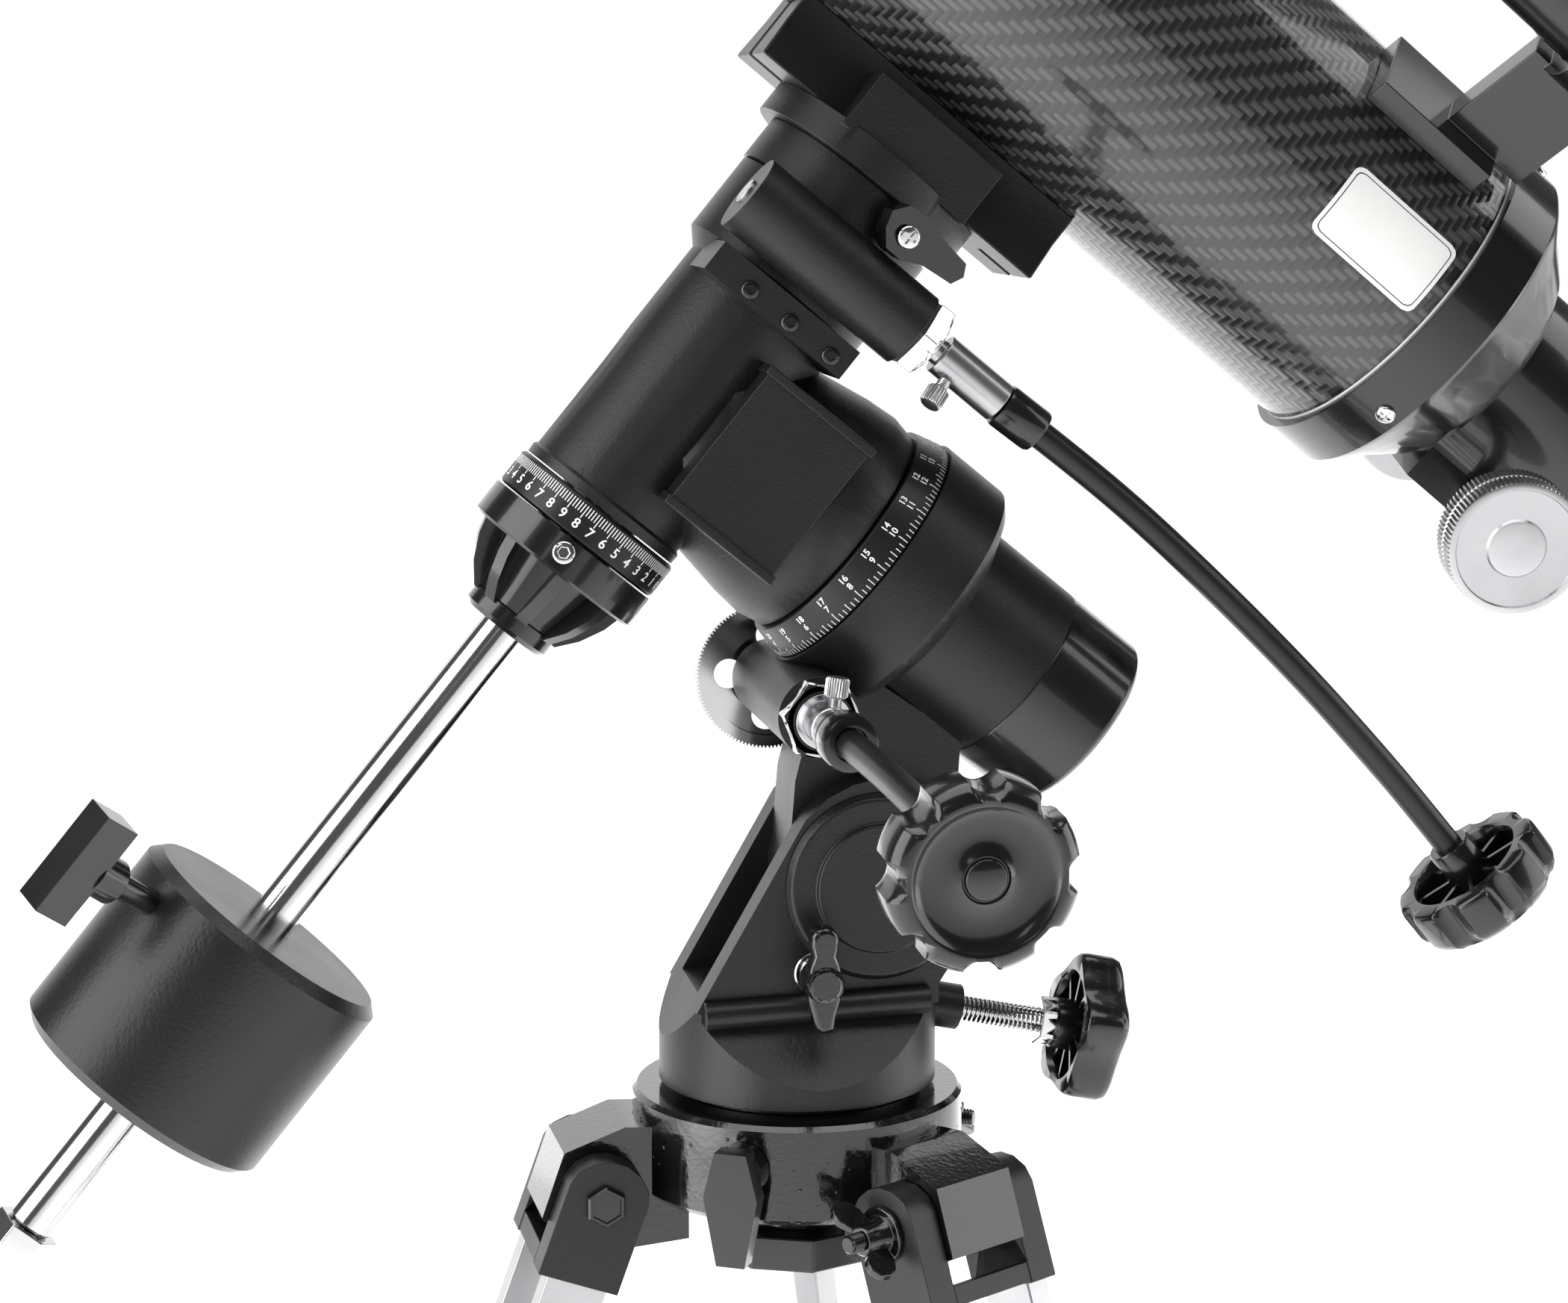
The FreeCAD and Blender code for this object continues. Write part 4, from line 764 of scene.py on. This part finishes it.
# %% Wing nuts and bolt ends on the legs
WING = [(2.4, -2.2), (6, -3.4), (9.5, -3.2), (12.6, -1.2), (14, 2), (13.2, 5.2), (10.6, 7), (7.6, 6.8),
        (5.2, 4.8), (3.4, 2.2)]
for i in LEGS:
    fold = JOINTS["leg_fold_%d" % i]
    end = stand(Vector(fold["pos_m"]) + Vector(fold["axis"]) * 0.0268, fold["axis"], (0, 0, 1))
    form = bmesh.new()
    turned(form, end, [(8.2, 0), (8.6, 0.4), (8.6, 1.4), (8.2, 1.8), (6.0, 1.8), (5.0, 5), (4.6, 9), (4.0,
            9.6)], 64)
    for half in (0, math.pi):
        wing = end @ Matrix.Rotation(half + 0.9, 4,
                                     "Z") @ Matrix.Translation((0, 0,
                                                                6.2 * MM)) @ Matrix.Rotation(math.pi / 2, 4,
                                                                        "X")
        plate(form, wing, WING, -1.2, 1.2)
    piece("wing_nut_%d" % i, "tripod", "enamel", form, 0.9, ("leg_bolts",) if i == 1 else (), 40)
    form = bmesh.new()
    turned(form, end, [(3.9, -53), (3.9, 1)])
    head = stand(Vector(fold["pos_m"]) - Vector(fold["axis"]) * 0.0266, -Vector(fold["axis"]), (0, 0, 1))
    turned(form, head, [(hexagon(6.6), -1), (hexagon(6.6), 1.6), (hexagon(6.0), 2.2), (hexagon(5.0), 2.2),
                        (hexagon(4.7), 1.5)], 96)
    piece("leg_bolt_%d" % i, "tripod", "gloss", form)
    form = bmesh.new()
    thread(form, end, 3.0, 1.0, 0.45, 9, 14)
    turned(form, end, [(2.6, 13.5), (2.6, 14.4), (2.2, 14.8)])
    piece("bolt_end_%d" % i, "tripod", "gloss", form)
print("fasteners made")

# %% [markdown]
# ## Optical tube
# The tube is wrapped in woven carbon under a clear coat. The weave is a checker of two thread directions,
# shifted by one cell in each row: a twill. The tows that lie on top are painted lighter, most of all along
# their crowns: a painted sheen in place of the highlight that runs along the fibres. It is drawn on a skin
# with its own map, one unit to a metre, so a cell keeps its real size of 2.5 mm.


# %% Woven carbon
def carbon():
    material = finish("woven_carbon", (0.02, 0.02, 0.021), 0.3, (), coat=0.9, vary=0.03)
    tree = material.node_tree
    shader = tree.nodes["Principled BSDF"]

    def math_node(kind, *values):
        node = tree.nodes.new("ShaderNodeMath")
        node.operation = kind
        for socket, item in zip(node.inputs, values):
            if isinstance(item, (int, float)):
                socket.default_value = item
            else:
                tree.links.new(item, socket)
        return node.outputs[0]

    grid = tree.nodes.new("ShaderNodeUVMap")
    grid.uv_map = "weave"
    split = tree.nodes.new("ShaderNodeSeparateXYZ")
    tree.links.new(grid.outputs["UV"], split.inputs[0])
    across = math_node("MULTIPLY", split.outputs[0], 1000 / 2.6)
    along = math_node("MULTIPLY", split.outputs[1], 1000 / 2.6)
    turn = math_node("ADD", math_node("FLOOR", across), math_node("FLOOR", along))
    over = math_node("LESS_THAN", math_node("FLOORED_MODULO", turn, 4.0), 1.5)
    hump_a = math_node("SINE", math_node("MULTIPLY", math_node("FRACT", across), math.pi))
    hump_b = math_node("SINE", math_node("MULTIPLY", math_node("FRACT", along), math.pi))
    tow = tree.nodes.new("ShaderNodeMix")
    tree.links.new(over, tow.inputs["Factor"])
    tree.links.new(hump_b, tow.inputs["A"])
    tree.links.new(hump_a, tow.inputs["B"])
    # Painted sheen: the tows on top are lighter than the ones below, brightest along their crowns, in place
    # of the highlight that runs along the fibres.
    shade = tree.nodes.new("ShaderNodeMix")
    shade.data_type = "RGBA"
    shade.inputs["A"].default_value = (0.008, 0.008, 0.009, 1)
    shade.inputs["B"].default_value = (0.055, 0.055, 0.057, 1)
    tree.links.new(math_node("MULTIPLY", over, tow.outputs["Result"]), shade.inputs["Factor"])
    tree.links.new(shade.outputs["Result"], shader.inputs["Base Color"])
    bump = tree.nodes.new("ShaderNodeBump")
    bump.inputs["Distance"].default_value = 0.0002
    tree.links.new(tow.outputs["Result"], bump.inputs["Height"])
    tree.links.new(bump.outputs["Normal"], shader.inputs["Normal"])
    return material


FINISH["carbon"] = carbon()


def woven(name, node, radius, low, high, wall):
    """A tube skin with a weave map: u runs round the tube and v along it, both in metres."""
    form = bmesh.new()
    turned(form, tube(), [(radius - wall, low + 0.5), (radius - 0.2, low), (radius, low + 0.2), (radius,
            high - 0.2),
                          (radius - 0.2, high), (radius - wall, high - 0.5)], 128)
    form.faces.ensure_lookup_table()
    ends = [face for face in form.faces if len(face.verts) > 4]
    bmesh.ops.delete(form, geom=ends, context="FACES_ONLY")
    to_tube = tube().inverted()
    layer = form.loops.layers.uv.new("weave")
    for face in form.faces:
        middle = to_tube @ face.calc_center_median()
        centre_angle = math.atan2(middle.y, middle.x)
        for loop in face.loops:
            spot = to_tube @ loop.vert.co
            off = (math.atan2(spot.y, spot.x) - centre_angle + math.pi) % math.tau - math.pi
            loop[layer].uv = ((centre_angle + off) * radius * MM, spot.z)
    return piece(name, "optical_tube", "carbon", form, 0.0, (node,))


woven("tube_skin", "tube", 54, -153.8, 300, 1.5)
form = bmesh.new()
turned(form, tube(), [(54.0, -152.2), (54.14, -152.1), (54.14, -151.4), (54.0, -151.3)], 128)
piece("tube_line", "optical_tube", "white", form)


# %% Blank label
def bent_label(name, look, radius, margin):
    """A rounded rectangle bent round the tube, built in strips that lie along it."""
    form = bmesh.new()
    low, high, first, last, corner = -146.5 + margin, -105 - margin, -104.5, -78.5, 3.0 - margin / 2
    arc = margin / radius
    start, stop = math.radians(first) + arc, math.radians(last) - arc
    rows = []
    for k in range(41):
        angle = start + (stop - start) * k / 40
        edge = min(angle - start, stop - angle) * radius
        inset = corner - math.sqrt(max(0, corner ** 2 - (corner - min(edge, corner)) ** 2))
        rows.append([form.verts.new(tube() @ (MM * Vector((reach * math.cos(angle), reach * math.sin(angle),
                                                           s))))
                     for reach, s in ((radius - 0.1, low + inset), (radius, low + inset), (radius,
                             high - inset), (radius - 0.1, high - inset))])
    for a, b in zip(rows, rows[1:]):
        for k in range(4):
            form.faces.new((a[k - 1], a[k], b[k], b[k - 1]))
    form.faces.new(rows[0])
    form.faces.new(rows[-1])
    piece(name, "optical_tube", look, form)


bent_label("label_base", "white", 54.12, 0)
bent_label("label_line", "dial", 54.18, 1.3)
bent_label("label_face", "white", 54.24, 1.6)

# %% [markdown]
# ## Focus knobs
# Each knob is turned aluminium with two knurled bands. The knurl is a radius rule again: ninety shallow
# waves round the rim. The near knob carries the shaft, so the pair stands in for the loaded knobs.

# %% Focus knobs
focus = JOINTS["focus_turn"]
for side, name in ((-1, "near"), (1, "far")):
    place = stand(focus["pos_m"], Vector(focus["axis"]) * side, POLAR)
    form = bmesh.new()
    rim = knurled(21, 0.5, 90)
    turned(form, place, [(3.9, 0), (3.9, 56), (9, 56), (9, 62), (20.2, 62), (rim, 62.8), (rim, 69), (20.2,
            69.4), (20.2, 70.2),
                         (rim, 70.6), (rim, 76.8), (20.4, 77.6), (19.4, 77.9), (18.6, 77.9), (18.2, 77.2),
                         (9.2, 76.9),
                         (8.6, 77.6), (7.4, 77.8), (2.5, 77.8)], 360)
    piece("focus_knob_%s" % name, "focus_knobs", "satin", form, 0.0, ("focus_knobs",) if side < 0 else ())
print("tube parts made")

# %% [markdown]
# ## Water drops on the enamel
# The hub is poured enamel that dried with tiny beads. They are low domes scattered by a seeded draw, so
# they come out the same every time.

# %% Beads on the hub
draw = random.Random(7)
form = bmesh.new()
for _ in range(260):
    angle = draw.uniform(0, math.tau)
    size = draw.choice((0.25, 0.35, 0.35, 0.5, 0.7))
    if draw.random() < 0.45:
        place = stand((0.0505 * math.cos(angle), 0.0505 * math.sin(angle), hub_top - 0.0009),
                      (math.cos(angle), math.sin(angle), 1.2))
    else:
        height = draw.uniform(0.004, 0.028)
        place = stand((0.052 * math.cos(angle), 0.052 * math.sin(angle), hub_top - height),
                      (math.cos(angle), math.sin(angle), 0))
    turned(form, place, [(size, -0.1), (0.94 * size, 0.12 * size), (0.72 * size, 0.32 * size), (0.3 * size,
            0.46 * size)], 10)
piece("hub_beads", "tripod", "enamel", form, 0.0, (), 60)
print("beads scattered")
